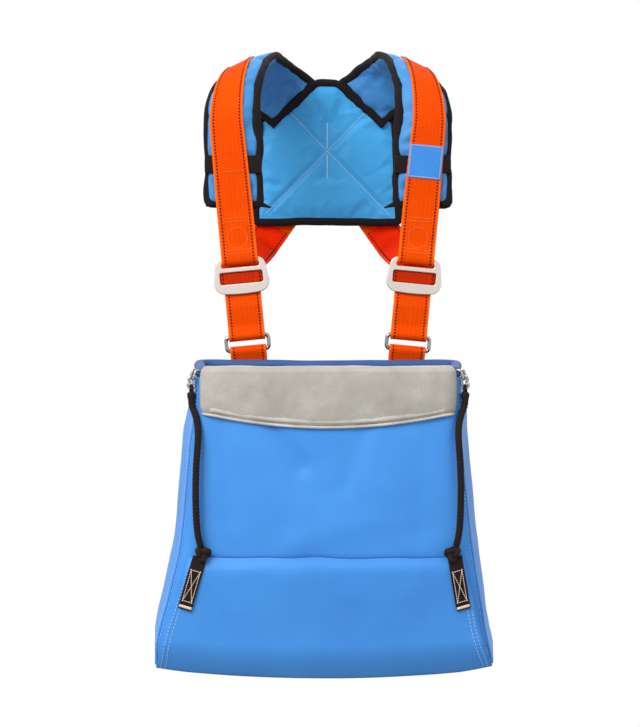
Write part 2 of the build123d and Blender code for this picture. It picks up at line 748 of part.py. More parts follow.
def rim_pad_arc():
    """Half width, sag and radius of the grey pad's curved lower edge, lowest in the middle."""
    half = RIM_FRONT_WIDTH / 2 + RIM_PAD_THICK
    return half, RIM_PAD_SAG, (half ** 2 + RIM_PAD_SAG ** 2) / (2 * RIM_PAD_SAG)


def rim_pad_trim():
    """Block above the grey pad's lower edge."""
    half, sag, radius = rim_pad_arc()
    deep = RIM_Z - RIM_PAD_DROP
    edge = deep + sag
    top = RIM_Z + 2 * HEM_RADIUS + RIM_PAD_THICK
    arc = ThreePointArc((-half, edge), (0, deep), (half, edge))
    upper = Polyline((half, edge), (half, top), (-half, top), (-half, edge))
    return Rot(90, 0, 0) * extrude(make_face([arc, *upper.edges()]), -2 * BAG_FRONT_Y, both=True)


def rim_pad():
    """Padded cover folded over the front of the rim: long outside, short inside."""
    inner = HEM_RADIUS + LAYER_GAP
    outer = inner + RIM_PAD_THICK
    lower = RIM_PAD_DROP + PIPING_DIAMETER
    crown = RIM_PAD_CROWN
    lines = [
        ThreePointArc((-inner, 0), (0, inner), (inner, 0)),
        Line((inner, 0), (inner, -lower)),
        Line((inner, -lower), (outer, -lower)),
        ThreePointArc((outer, -lower), (outer + crown, -lower / 2), (outer, 0)),
        ThreePointArc((outer, 0), (0, inner + RIM_PAD_TOP), (-outer, 0)),
        Line((-outer, 0), (-outer, -RIM_PAD_LIP)),
        Line((-outer, -RIM_PAD_LIP), (-inner, -RIM_PAD_LIP)),
        Line((-inner, -RIM_PAD_LIP), (-inner, 0)),
    ]
    path = rim_front_path(HEM_RADIUS)
    start = path.edges()[0]
    outward = (start % 0).cross(Vector(0, 0, 1))
    section = Plane(start @ 0, x_dir=outward, z_dir=(start % 0) * -1) * make_face(lines)
    wall_room = bag_loft(-LAYER_GAP) - bag_loft(WALL + LAYER_GAP)
    return (sweep(section, path=path) & rim_pad_trim()) - wall_room


def rim_piping():
    """Cord sewn under the grey pad's lower edge, on the same arc."""
    half, sag, radius = rim_pad_arc()
    swing = asin(front_corner().X / radius)
    y = BAG_FRONT_Y - LAYER_GAP - RIM_PAD_THICK / 2
    reach = radius + PIPING_DIAMETER / 2 + LAYER_GAP / 3
    centre_z = RIM_Z - RIM_PAD_DROP + radius
    points = [(reach * sin(turn), y, centre_z - reach * cos(turn)) for turn in (-swing, 0, swing)]
    path = ThreePointArc(*points)
    section = Plane(path @ 0, z_dir=path % 0) * Circle(PIPING_DIAMETER / 2)
    return sweep(section, path=path)


def chute_bellows():
    """Folded side cloth that lets the chute's floor drop, kept inside the right gusset's foot."""
    outer = WALL + LAYER_GAP
    wall = bag_loft(outer) - bag_loft(outer + BELLOWS_THICK)
    length = BAG_DEPTH - 2 * BACK_CORNER
    block = Box(RIM_BACK_WIDTH, length, BELLOWS_HEIGHT, align=(Align.MIN, Align.CENTER, Align.MIN))
    middle = (BAG_FRONT_Y + BAG_BACK_Y) / 2
    return wall & Pos(0, middle, BASE_Z + LAYER_GAP) * block


# Hooks and cord ends at the rim

def hook_eye_centre():
    """Middle of a hook's eye in the wire eye's plane, hanging on its bottom wire."""
    play = HOOK_EYE_RADIUS - WIRE
    return EYE_REACH, -EYE_DROP - play + LAYER_GAP


def hook_seat():
    """Middle of the hook's lower wire in the wire eye's plane."""
    x, y = hook_eye_centre()
    return x - HOOK_EYE_RADIUS + HOOK_BEND_RADIUS, y - HOOK_SHANK - HOOK_BEND_RADIUS


def cord_hook():
    x, y = hook_eye_centre()
    shank_x = x - HOOK_EYE_RADIUS
    low = y - HOOK_SHANK
    eye = CenterArc((x, y), HOOK_EYE_RADIUS, 180 - HOOK_EYE_SWEEP, HOOK_EYE_SWEEP)
    shank = Line((shank_x, y), (shank_x, low))
    bend = CenterArc((shank_x + HOOK_BEND_RADIUS, low), HOOK_BEND_RADIUS, 180, HOOK_BEND_SWEEP)
    path = Wire([eye.edge(), shank.edge(), bend.edge()])
    section = Plane(eye @ 0, z_dir=eye % 0) * Circle(WIRE / 2)
    return eye_plane() * sweep(section, path=path)


def cord_loop():
    """Thin loop at the cord's end, slipped over the hook."""
    x, y = hook_seat()
    half = WIRE / 2 + LAYER_GAP + LOOP_CORD / 2
    low = y - LOOP_LEG
    first = Line((x, low, -half), (x, y, -half))
    top = ThreePointArc((x, y, -half), (x, y + half, 0), (x, y, half))
    last = Line((x, y, half), (x, low, half))
    path = Wire([first.edge(), top.edge(), last.edge()])
    section = Plane(first @ 0, z_dir=first % 0) * Circle(LOOP_CORD / 2)
    return eye_plane() * sweep(section, path=path)


def sleeve_top():
    x, y = hook_seat()
    return eye_plane().from_local_coords(Vector(x, y - LOOP_LEG, 0))


def cord_sleeve():
    """Sleeve that joins the loop to the cord, tapering to the cord."""
    half = SLEEVE_LENGTH / 2
    upper = Cylinder(SLEEVE_DIAMETER / 2, half, align=(Align.CENTER, Align.CENTER, Align.MAX))
    foot_radius = CORD_DIAMETER / 2 + LAYER_GAP
    lower = Cone(foot_radius, SLEEVE_DIAMETER / 2, half, align=(Align.CENTER, Align.CENTER, Align.MAX))
    return Pos(sleeve_top()) * (upper + Pos(0, 0, -half) * lower)


# Chute

FLOOR_Z = BASE_Z - FLOOR_GAP - FLOOR_THICK / 2
LINING_Y = BAG_FRONT_Y - LAYER_GAP - LINING_THICK / 2
LINING_Z = BASE_Z - FLOOR_GAP + LAYER_GAP + LINING_THICK / 2
FLAP_Y = LINING_Y - LINING_THICK / 2 - LAYER_GAP - FLAP_THICK / 2
FLAP_TOP_Z = FLOOR_Z + FLAP_HEIGHT
FLAP_FRONT_Y = FLAP_Y - FLAP_THICK / 2


def chute_floor():
    """Bottom of the bag, hinged along its back edge."""
    front = FLAP_Y + FLAP_THICK / 2 + LAYER_GAP
    half_back = BASE_BACK_WIDTH / 2
    half_front = BASE_FRONT_WIDTH / 2
    corners = [(half_back, BAG_BACK_Y), (-half_back, BAG_BACK_Y), (-half_front, front), (half_front, front)]
    face = make_face(Polyline(*corners, close=True))
    face = fillet(face.vertices().sort_by(Axis.Y)[-2:], BACK_CORNER)
    face = fillet(face.vertices().sort_by(Axis.Y)[:2], FLAP_CORNER)
    return Pos(0, 0, FLOOR_Z) * extrude(face, FLOOR_THICK / 2, both=True)


def hanging_layer(y, z, thick, height, top_width, bottom_width):
    """Upright cloth layer of the folded chute, rounded along the hinge line at its foot."""
    top = z + height
    corners = [(-bottom_width / 2, z), (bottom_width / 2, z), (top_width / 2, top), (-top_width / 2, top)]
    face = make_face(Polyline(*corners, close=True))
    face = fillet(face.vertices().sort_by(Axis.Y)[:2], FLAP_CORNER)
    layer = Pos(0, y, 0) * Rot(90, 0, 0) * extrude(face, thick / 2, both=True)
    foot = Rot(0, 90, 0) * Cylinder(thick / 2, bottom_width - 2 * FLAP_CORNER)
    return layer + Pos(0, y, z) * foot


def chute_lining():
    return hanging_layer(LINING_Y, LINING_Z, LINING_THICK, FLAP_HEIGHT - LINING_MARGIN,
                         FLAP_TOP_WIDTH - LINING_MARGIN, BASE_FRONT_WIDTH - LINING_MARGIN)


def chute_flap():
    return hanging_layer(FLAP_Y, FLOOR_Z, FLAP_THICK, FLAP_HEIGHT, FLAP_TOP_WIDTH, BASE_FRONT_WIDTH)


def tab_plane():
    """Plane of the right flap tab: y up along the flap's sloping edge, origin at the tab's upper end."""
    up = Vector(FLAP_TOP_WIDTH / 2 - BASE_FRONT_WIDTH / 2, 0, FLAP_HEIGHT).normalized()
    inward = Vector(-up.Z, 0, up.X)
    corner = Vector(FLAP_TOP_WIDTH / 2, FLAP_FRONT_Y - LAYER_GAP - FLAP_TAB_THICK / 2, FLAP_TOP_Z)
    top = corner + inward * (FLAP_TAB_INSET + TAB_WIDTH / 2) + up * FLAP_TAB_RISE
    return Plane(top, x_dir=inward * -1, z_dir=FRONT)


def flap_tab():
    tab = Box(TAB_WIDTH, FLAP_TAB_LENGTH, FLAP_TAB_THICK, align=(Align.CENTER, Align.MAX, Align.CENTER))
    return tab_plane() * tab


KNOT_CENTRE = tab_plane().from_local_coords(Vector(0, KNOT_SEAT, KNOT_FORWARD))

# Route of the right cord from its sleeve down to the knot
CORD_ROUTE = [
    sleeve_top() - Vector(0, 0, SLEEVE_LENGTH),
    sleeve_top() - Vector(0, 0, SLEEVE_LENGTH + CORD_EXIT),
    Vector(159.8, -298.6, -436.0),
    Vector(156.8, -305.0, -452.0),
    Vector(157.4, -309.0, -470.0),
    Vector(159.2, -311.0, -492.0),
    Vector(160.2, -312.2, -530.0),
    Vector(158.9, -312.9, -567.0),
    Vector(156.6, -312.5, -584.0),
]
CORD_DIRECTION = (KNOT_CENTRE - CORD_ROUTE[-1]).normalized()
CORD_END = KNOT_CENTRE - CORD_DIRECTION * KNOT_CORD_SEAT


def cord():
    """Cord tube: straight runs joined by arcs as large as the runs allow."""
    points = CORD_ROUTE + [CORD_END]
    bends = []
    for before, point, after in zip(points, points[1:], points[2:]):
        arriving = point - before
        leaving = after - point
        turn = radians(arriving.get_angle(leaving))
        bends.append(0.45 * min(arriving.length, leaving.length) / tan(turn / 2))
    path = FilletPolyline(*points, radius=bends)
    tube = sweep(Plane(path @ 0, z_dir=path % 0) * Circle(CORD_DIAMETER / 2), path=path)
    share = tube.volume / (pi * CORD_DIAMETER ** 2 / 4 * path.length)
    print("cord bends, mm:", [round(bend) for bend in bends])
    print(f"cord length {path.length:.1f} mm, volume over section times length {share:.4f}")
    return tube


def cord_knot():
    """Knot on the tab's upper end, flat where the tab and the cord meet it."""
    ball = Pos(KNOT_CENTRE) * Sphere(KNOT_DIAMETER / 2)
    plane = tab_plane()
    ball = split(ball, bisect_by=Plane(plane.origin, z_dir=plane.y_dir), keep=Keep.TOP)
    return split(ball, bisect_by=Plane(CORD_END, z_dir=CORD_DIRECTION), keep=Keep.TOP)


def write_harness():
    write("back_panel", back_panel())
    write("back_panel_binding", back_panel_binding())
    write("strap_label", strap_label())
    both_sides("shoulder_pad", shoulder_pad())
    both_sides("pad_binding", pad_binding())
    both_sides("keeper_band", keeper_band())
    both_sides("buckle_frame", buckle_frame())
    both_sides("buckle_pin", buckle_pin())
    both_sides("buckle_guard", buckle_guard())
    both_sides("lower_strap", lower_strap())
    both_sides("strap_ring", strap_ring())
    for layer, shoulder, hip in ((0, "right", "left"), (1, "left", "right")):
        write_side(f"shoulder_strap_{shoulder}", shoulder_strap(layer), shoulder)
        write_side(f"back_strap_{shoulder}", back_strap(layer), shoulder)
        write_side(f"side_strap_{hip}", side_strap(layer), hip)


def write_bag():
    front, back, left, right = bag_panels()
    write("bag_front_panel", front)
    write("bag_back_panel", back)
    write("bag_gusset_left", left)
    write("bag_gusset_right", right)
    write("rim_frame", rim_frame())
    write("rim_hem", rim_hem())
    write("rim_pad", rim_pad())
    write("rim_piping", rim_piping())
    both_sides("bag_tab", bag_tab())
    both_sides("rim_eye", rim_eye_wire(WIRE / 2))
    both_sides("chute_bellows", chute_bellows())
    both_sides("cord_hook", cord_hook())


def write_chute():
    write("chute_floor", chute_floor())
    write("chute_flap", chute_flap())
    write("chute_lining", chute_lining())
    both_sides("flap_tab", flap_tab())
    both_sides("cord_knot", cord_knot())
    both_sides("cord", cord())
    both_sides("cord_sleeve", cord_sleeve())
    both_sides("cord_loop", cord_loop())


os.makedirs("parts", exist_ok=True)
write_harness()
write_bag()
write_chute()
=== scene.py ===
from math import cos, pi, radians, sin

import bpy
import numpy as np
from mathutils import Matrix, Vector, noise


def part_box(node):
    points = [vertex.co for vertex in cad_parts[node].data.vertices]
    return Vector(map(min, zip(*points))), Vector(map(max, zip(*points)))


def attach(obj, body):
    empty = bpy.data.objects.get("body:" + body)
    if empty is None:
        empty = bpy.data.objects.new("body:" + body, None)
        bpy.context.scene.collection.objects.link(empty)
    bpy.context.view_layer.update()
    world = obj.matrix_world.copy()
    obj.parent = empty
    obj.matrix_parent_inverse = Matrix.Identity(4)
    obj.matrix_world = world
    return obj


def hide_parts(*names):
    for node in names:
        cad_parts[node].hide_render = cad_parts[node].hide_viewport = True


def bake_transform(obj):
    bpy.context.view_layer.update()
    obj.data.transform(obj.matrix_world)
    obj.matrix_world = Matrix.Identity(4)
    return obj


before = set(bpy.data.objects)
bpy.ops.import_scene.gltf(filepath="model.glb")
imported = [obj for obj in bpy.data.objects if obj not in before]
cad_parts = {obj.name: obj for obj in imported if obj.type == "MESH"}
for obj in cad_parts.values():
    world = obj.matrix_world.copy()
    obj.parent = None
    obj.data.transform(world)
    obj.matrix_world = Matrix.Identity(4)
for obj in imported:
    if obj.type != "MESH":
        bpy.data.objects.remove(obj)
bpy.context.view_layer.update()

# Pieces that come in pairs are drawn for the right and flipped for the left
SIDES = ("left", "right")
FLIP = {"left": np.array((-1.0, 1.0, 1.0)), "right": np.array((1.0, 1.0, 1.0))}

# Webbing: the layers of a fold lie LAYER apart, and the bright selvedge begins and is full at SELVEDGE off
# the middle; stations along a strap lie closer where it turns round a bar or a wire
STRAP_WIDTH = 0.0465
STRAP_THICK = 0.0024
LAYER = 0.0027
SELVEDGE = (0.0202, 0.0212)
STRAP_SPACING = 0.004
LOOP_SPACING = 0.0015

# Pads, and the arch that they and the straps follow over the shoulder
PAD_HALF = 0.0375
PAD_END_HALF = 0.043
PAD_THICK = 0.014
PAD_FRONT_X = 0.1217
PAD_CREST_X = 0.107
PAD_DROP = 0.181
PAD_END_MARGIN = 0.003
PAD_TURN_DROP = 0.072
PAD_NECK_SHIFT = 0.0053
PAD_SPACING = 0.0045
PAD_SLACK = 0.0026
SEWN_EDGE = 0.004
PUFF_FRAMES = 20
STRAP_CREST_SHIFT = 0.006
SHOULDER_ROLL = radians(25)
SHOULDER_TWIST = radians(4)
CREST_FLATTEN = 0.0034
CREST_FLATTEN_REACH = 0.060
NECK_TUCK = 0.0085
STRAP_Y = -0.115
BACK_Y = 0.110
PAD_FRONT_Y = -0.1052
CREST_Z = PAD_THICK / 2 * cos(SHOULDER_ROLL)
STRAP_RISE = PAD_THICK / 2 + 0.0028
BAND_DROP = 0.127
BAND_WIDTH = 0.023
BAND_SQUEEZE = 0.09
BAND_REACH = 0.011
BINDING_HALF = 0.0054
BINDING_THICK = 0.0084

# Stations along the arch, and the small turn for reading its direction
ARCH_STATIONS = 81
ARCH_STEP = 0.002

# Share of the strap's width that shows where it curls round the pad, at heights up the front
CURL_HEIGHTS = (-0.182, -0.100, -0.060, -0.020)
CURL_SHARES = (1.0, 0.95, 0.90, 0.84)

# Back panel: heights and half widths at the top, the seam's end, the side and the bottom; its upper sides
# lie a little behind its middle, under the pads
PANEL_TOP_Z = -0.006
PANEL_SHOULDER_Z = -0.069
PANEL_SIDE_Z = -0.056
PANEL_BOTTOM_Z = -0.203
PANEL_TOP_HALF = 0.015
PANEL_SHOULDER_HALF = 0.079
PANEL_SIDE_HALF = 0.097
PANEL_BOTTOM_HALF = 0.102
PANEL_THICK = 0.009
PANEL_OUTER = PANEL_THICK / 2 + 0.0016
BEHIND_PAD = 0.005

# Sloping seam between panel and pad: its angle below the level, its middle, and where the side notch cuts it
SEAM_FALL = PANEL_TOP_Z - PANEL_SHOULDER_Z
SEAM_RUN = PANEL_SHOULDER_HALF - PANEL_TOP_HALF
SEAM_SLOPE = np.arctan2(SEAM_FALL, SEAM_RUN)
SEAM_MIDDLE = np.array((PANEL_TOP_HALF + SEAM_RUN / 2, BACK_Y, PANEL_TOP_Z - SEAM_FALL / 2))
NOTCH_HALF = PANEL_TOP_HALF + SEAM_RUN * (PANEL_TOP_Z - PANEL_SIDE_Z) / SEAM_FALL
BACK_STRAP_END = np.array((0.030 - PANEL_BOTTOM_HALF, BACK_Y, PANEL_BOTTOM_Z - 0.002))

# Sewn lines of the quilting, between (x, z) places: a cross, and a short upright in two parts
QUILT_CROSS = (((-0.051, -0.050), (0.085, -0.190)), ((0.050, -0.052), (-0.083, -0.187)))
QUILT_UPRIGHT = (((0.0, -0.066), (0.0, -0.097)), ((0.0, -0.109), (0.0, -0.139)))
QUILT_DEPTH = 0.0018

# Strap line in front, from the ring up through the buckle
STRAP_LEAN = radians(5.4)
UP = np.array((sin(STRAP_LEAN), 0.0, cos(STRAP_LEAN)))
ACROSS = np.array((cos(STRAP_LEAN), 0.0, -sin(STRAP_LEAN)))
FRONT = np.array((0.0, -1.0, 0.0))
RING_CENTRE = np.array((0.103, STRAP_Y, -0.3560))
RING_HALF_PITCH = 0.009
RING_SLACK = 0.0005
BUCKLE_RISE = 0.088
BUCKLE_CENTRE = RING_CENTRE + UP * BUCKLE_RISE
BUCKLE_TOP = 0.02175
SEWN_LENGTH = 0.074
BAG_TAB_DROP = 0.0875
LABEL_SIZE = 0.043
LABEL_Z = -0.124

# Folds of the straps: round the buckle's top bar, round its pin and round a ring's wire
BAR_CLEAR = 0.0036
FOLD_SPREAD = BUCKLE_TOP + 0.004
FOLD_JOINED = BUCKLE_TOP + 0.016
PIN_FORWARD = -0.0082
PIN_UP = 0.00395
PIN_WRAP = 0.0046
RING_LOOP = 0.0055
LOOP_NECK = 0.013
LOOP_OVERLAP = 20

# Stitches: the pitch, length and width of each kind, and how they lie on a strap
STRAP_STITCH = (0.0042, 0.0028, 0.0024)
SEWN_END_STITCH = (0.0026, 0.0022, 0.0009)
CROSS_STITCH = (0.0042, 0.0040, 0.0011)
UPRIGHT_STITCH = (0.0040, 0.0042, 0.0021)
SEAM_STITCH = (0.0046, 0.0036, 0.0013)
TAB_STITCH = (0.0028, 0.0027, 0.0012)
STITCH_INSET = 0.0050
STITCH_LIFT = 0.0011

# Bag: drops below the rim, and the widths at the back and at the front there
RIM_Z = -0.383460
BAG_HEIGHT = 0.355
BAG_DROPS = (0.0, 0.075, 0.215, BAG_HEIGHT)
BACK_WIDTHS = (0.344, 0.368, 0.392, 0.440)
FRONT_WIDTHS = (0.317, 0.326, 0.354, 0.4155)
BAG_BACK_Y = -0.11785
BAG_FRONT_Y = -0.29985
BACK_CORNER = 0.026
FRONT_CORNER = 0.020
SEAM_INSET = 0.012
HEM_RADIUS = 0.007
HEM_OVERLAP = 0.0055
HEM_SEAM_DROP = 0.011
CLOTH = 0.0016
BASE_SAG = 0.0118
BASE_DROOP = 0.0042

# The front's belly, and its creases: from and to (x, z), how far each stands out, and its width
FRONT_BELLY = 0.007
FRONT_CREASES = (
    ((-0.072, -0.440), (-0.030, -0.497), -0.0044, 0.011),
    ((-0.030, -0.497), (-0.006, -0.530), -0.0016, 0.014),
    ((0.050, -0.446), (0.022, -0.520), -0.0020, 0.013),
    ((-0.128, -0.440), (-0.118, -0.560), -0.0024, 0.015),
    ((0.126, -0.440), (0.112, -0.575), -0.0022, 0.016),
    ((-0.030, -0.590), (0.060, -0.560), 0.0018, 0.018),
)

# The bag hangs a little askew: sideways by so much at each drop, one base corner higher than the other
SWAY_DROPS = (0.0, 0.055, 0.080, 0.222, 0.242, 0.283, 0.310, 0.335, BAG_HEIGHT)
SWAY = (0.0, 0.0006, 0.0032, 0.0026, 0.0038, 0.0052, 0.0072, 0.0072, 0.0050)
CORNER_LIFT = {"left": 0.0015, "right": 0.0035}

# Grey cover: degrees that it turns round the front corners, the depth and rise of its lower edge,
# and how far at most it follows the swell of the front
COVER_WRAP = 48.0
COVER_DROP = 0.0645
COVER_ARC = 0.0200
COVER_FOLLOW = 0.01

# Chute
FLOOR_Z = -0.740860
FLAP_Y = -0.30395
FLAP_HEIGHT = 0.135
FLAP_TOP_HALF = 0.166
FLAP_FOOT_HALF = 0.2055
FLAP_TUCK = 0.018
FLAP_CURL = 0.040
FLAP_STEP = 0.0045
FLAP_LEAN = 0.0062
LINING_FOOT_Z = -0.738060
LINING_STEP = 0.0023
BELLOWS_Z = (-0.7377, -0.7165)

# Cords at the rim and tabs on the flap, drawn for the right side
CORD_DIAMETER = 0.008
CORD_ROUTE = (
    (0.165782, -0.291361, -0.416260), (0.165782, -0.291361, -0.423260), (0.1598, -0.2986, -0.4360),
    (0.1568, -0.3050, -0.4520), (0.1574, -0.3090, -0.4700), (0.1592, -0.3110, -0.4920),
    (0.1602, -0.3122, -0.5300), (0.1589, -0.3129, -0.5670), (0.1566, -0.3125, -0.5840),
    (0.154313, -0.311039, -0.591729),
)
PLAIT_DEPTH = 0.10
SLEEVE_LENGTH = 0.009
KNOT_CENTRE = np.array((0.1515, -0.3115, -0.6015))
TAB_UP = np.array((-0.28082, 0.0, 0.95976))
TAB_INWARD = np.array((-TAB_UP[2], 0.0, TAB_UP[0]))
TAB_TOP = np.array((0.15508, -0.30675, -0.60592))
TAB_WIDTH = 0.017
TAB_LENGTH = 0.0665
TAB_STAND_OFF = 0.0023

# The right-hand tab hangs further in towards its foot: heights, and how far in at each
INWARD_HEIGHTS = (-0.665, -0.612, -0.592)
INWARD_SHIFTS = (0.0095, 0.0030, 0.0)

# Camera, floor and lamps: name, place, aim, size in metres and power in watts
CAMERA_PLACE = (-0.010, -3.110, -0.215)
CAMERA_PITCH = 3.2
CAMERA_LENS = 115.5
FLOOR_LEVEL = -1.42
FLOOR_SIZE = 3.2
LAMPS = (
    ("key lamp", (-1.2, -1.8, 1.1), (0.0, -0.15, -0.35), 1.3, 48.0),
    ("fill lamp", (1.7, -2.0, 0.3), (0.0, -0.15, -0.40), 1.8, 5.0),
    ("back lamp", (0.3, 2.0, 1.4), (0.0, 0.0, -0.3), 1.6, 10.0),
)


# Colours and materials

def linear(code):
    """Linear colour from an sRGB hex code."""
    channels = [int(code[place:place + 2], 16) / 255 for place in (1, 3, 5)]
    return tuple(c / 12.92 if c <= 0.04045 else ((c + 0.055) / 1.055) ** 2.4 for c in channels) + (1.0,)


def add(tree, kind, inputs=(), **settings):
    """Add a node; inputs maps its sockets to values or to other nodes' outputs."""
    made = tree.nodes.new("ShaderNode" + kind)
    for name, value in settings.items():
        setattr(made, name, value)
    for socket, value in dict(inputs).items():
        if isinstance(value, bpy.types.NodeSocket):
            tree.links.new(value, made.inputs[socket])
        else:
            made.inputs[socket].default_value = value
    return made


def new_tree(name):
    """A new material with an empty node tree."""
    material = bpy.data.materials.new(name)
    material.use_nodes = True
    material.node_tree.nodes.clear()
    return material, material.node_tree


def shade(tree, inputs):
    """End a material's tree with its shader and output."""
    shader = add(tree, "BsdfPrincipled", inputs)
    add(tree, "OutputMaterial", {"Surface": shader.outputs[0]})


def wave_scale(period):
    """Wave texture scale for bands that repeat every period metres."""
    return 2 * pi / 20 / period


def woven_cloth(name, colour, dark, thread, bump, roughness, sheen, blotch=0.05):
    """Plain-woven polyester or nylon: crossed threads, a soft sheen and faint blotches of a given size.

    The real threads are about 0.4 mm; they are drawn coarser, so that they show."""
    material, tree = new_tree(name)
    uv = add(tree, "UVMap", uv_map="UVMap").outputs[0]
    place = add(tree, "TexCoord").outputs["Object"]
    warp, weft = (add(tree, "TexWave", {"Vector": uv, "Scale": wave_scale(thread), "Distortion": 1.5,
                                        "Detail": 1.0, "Detail Scale": 0.3}, bands_direction=way)
                  for way in ("X", "Y"))
    weave = add(tree, "Math", {0: warp.outputs["Fac"], 1: weft.outputs["Fac"]}, operation="MULTIPLY")
    cloud = add(tree, "TexNoise", {"Vector": place, "Scale": 1 / blotch, "Detail": 4.0, "Roughness": 0.6})
    spread = add(tree, "MapRange", {"Value": cloud.outputs["Fac"], "From Min": 0.3, "From Max": 0.7,
                                    "To Min": 0.0, "To Max": 0.55})
    threads = add(tree, "Math", {0: weave.outputs[0], 1: 0.22}, operation="MULTIPLY")
    share = add(tree, "Math", {0: spread.outputs[0], 1: threads.outputs[0]}, operation="ADD")
    tone = add(tree, "Mix", {"Factor": share.outputs[0], "A": linear(colour), "B": linear(dark)},
               data_type="RGBA")
    relief = add(tree, "Bump", {"Height": weave.outputs[0], "Strength": bump, "Distance": 0.0004})
    shade(tree, {"Base Color": tone.outputs["Result"], "Normal": relief.outputs[0], "Roughness": roughness,
                 "Sheen Weight": sheen, "Sheen Roughness": 0.4, "Specular IOR Level": 0.35})
    return material


def webbing_cloth(name, colour, dark, rim):
    """Woven polyester webbing: ribs across the strap, pale selvedges and a faint herringbone.

    The ribs are about 1 mm apart; they are drawn 2 mm apart, so that they show. The stripes of the
    herringbone are 5.6 mm wide, and worn patches about 36 mm."""
    material, tree = new_tree(name)
    uv = add(tree, "UVMap", uv_map="UVMap").outputs[0]
    place = add(tree, "TexCoord").outputs["Object"]
    across = add(tree, "SeparateXYZ", {0: uv}).outputs["X"]
    ribs = add(tree, "TexWave", {"Vector": uv, "Scale": wave_scale(0.002), "Distortion": 1.0,
                                 "Detail": 2.0, "Detail Scale": 0.5}, bands_direction="Y")
    twill = add(tree, "TexWave", {"Vector": uv, "Scale": wave_scale(0.0056), "Distortion": 0.6,
                                  "Detail": 1.0}, bands_direction="X")
    weave = add(tree, "Math", {0: ribs.outputs["Fac"], 1: twill.outputs["Fac"]}, operation="MULTIPLY")
    off_middle = add(tree, "Math", {0: across, 1: STRAP_WIDTH / 2}, operation="SUBTRACT")
    reach = add(tree, "Math", {0: off_middle.outputs[0]}, operation="ABSOLUTE")
    selvedge = add(tree, "MapRange", {"Value": reach.outputs[0], "From Min": SELVEDGE[0],
                                      "From Max": SELVEDGE[1]})
    cloud = add(tree, "TexNoise", {"Vector": place, "Scale": 28.0, "Detail": 4.0, "Roughness": 0.65})
    worn = add(tree, "MapRange", {"Value": cloud.outputs["Fac"], "From Min": 0.35, "From Max": 0.7,
                                  "To Min": 0.0, "To Max": 0.45})
    lines = add(tree, "Math", {0: weave.outputs[0], 1: 0.35}, operation="MULTIPLY")
    share = add(tree, "Math", {0: worn.outputs[0], 1: lines.outputs[0]}, operation="ADD")
    body = add(tree, "Mix", {"Factor": share.outputs[0], "A": linear(colour), "B": linear(dark)},
               data_type="RGBA")
    tone = add(tree, "Mix", {"Factor": selvedge.outputs[0], "A": body.outputs["Result"], "B": linear(rim)},
               data_type="RGBA")
    relief = add(tree, "Bump", {"Height": weave.outputs[0], "Strength": 0.5, "Distance": 0.0005})
    shade(tree, {"Base Color": tone.outputs["Result"], "Normal": relief.outputs[0], "Roughness": 0.7,
                 "Specular IOR Level": 0.05})
    return material


def ribbed_tape(name, colour, dark, pitch):
    """Grosgrain tape: ribs across it, dull and dark, with uneven patches of about 11 mm.

    The ribs are about 1 mm apart; they are drawn coarser, so that they show."""
    material, tree = new_tree(name)
    uv = add(tree, "UVMap", uv_map="UVMap").outputs[0]
    place = add(tree, "TexCoord").outputs["Object"]
    ribs = add(tree, "TexWave", {"Vector": uv, "Scale": wave_scale(pitch), "Distortion": 0.8,
                                 "Detail": 1.0}, bands_direction="Y")
    cloud = add(tree, "TexNoise", {"Vector": place, "Scale": 90.0, "Detail": 3.0})
    share = add(tree, "Math", {0: ribs.outputs["Fac"], 1: cloud.outputs["Fac"]}, operation="MULTIPLY")
    tone = add(tree, "Mix", {"Factor": share.outputs[0], "A": linear(colour), "B": linear(dark)},
               data_type="RGBA")
    relief = add(tree, "Bump", {"Height": ribs.outputs["Fac"], "Strength": 0.6, "Distance": 0.0004})
    shade(tree, {"Base Color": tone.outputs["Result"], "Normal": relief.outputs[0], "Roughness": 0.75,
                 "Sheen Weight": 0.03, "Specular IOR Level": 0.15})
    return material


def coated_cloth(name, colour, dark, pale):
    """Grey coated cover cloth: a pebbled grain of about 1.5 mm, dust, and patches of about 45 mm."""
    material, tree = new_tree(name)
    place = add(tree, "TexCoord").outputs["Object"]
    grain = add(tree, "TexVoronoi", {"Vector": place, "Scale": 1 / 0.0015})
    cloud = add(tree, "TexNoise", {"Vector": place, "Scale": 22.0, "Detail": 5.0, "Roughness": 0.7})
    speck = add(tree, "TexNoise", {"Vector": place, "Scale": 1 / 0.002, "Detail": 2.0})
    patches = add(tree, "ValToRGB", {0: cloud.outputs["Fac"]})
    patches.color_ramp.elements[0].position = 0.3
    patches.color_ramp.elements[0].color = linear(dark)
    patches.color_ramp.elements[1].position = 0.68
    patches.color_ramp.elements[1].color = linear(pale)
    middle = patches.color_ramp.elements.new(0.5)
    middle.color = linear(colour)
    dust = add(tree, "MapRange", {"Value": speck.outputs["Fac"], "From Min": 0.55, "From Max": 0.8,
                                  "To Min": 0.0, "To Max": 0.35})
    tone = add(tree, "Mix", {"Factor": dust.outputs[0], "A": patches.outputs[0], "B": linear(dark)},
               data_type="RGBA")
    relief = add(tree, "Bump", {"Height": grain.outputs["Distance"], "Strength": 0.35, "Distance": 0.0006})
    shade(tree, {"Base Color": tone.outputs["Result"], "Normal": relief.outputs[0], "Roughness": 0.55,
                 "Specular IOR Level": 0.4})
    return material


def twisted_thread(name, colour):
    """Sewing thread: a twist of under 1 mm that breaks its colour up a little."""
    material, tree = new_tree(name)
    place = add(tree, "TexCoord").outputs["Object"]
    twist = add(tree, "TexNoise", {"Vector": place, "Scale": 1200.0, "Detail": 1.0})
    value = add(tree, "MapRange", {"Value": twist.outputs["Fac"], "To Min": 0.8, "To Max": 1.15})
    tone = add(tree, "HueSaturation", {"Color": linear(colour), "Saturation": 1.0, "Value": value.outputs[0]})
    shade(tree, {"Base Color": tone.outputs[0], "Roughness": 0.6, "Specular IOR Level": 0.2})
    return material


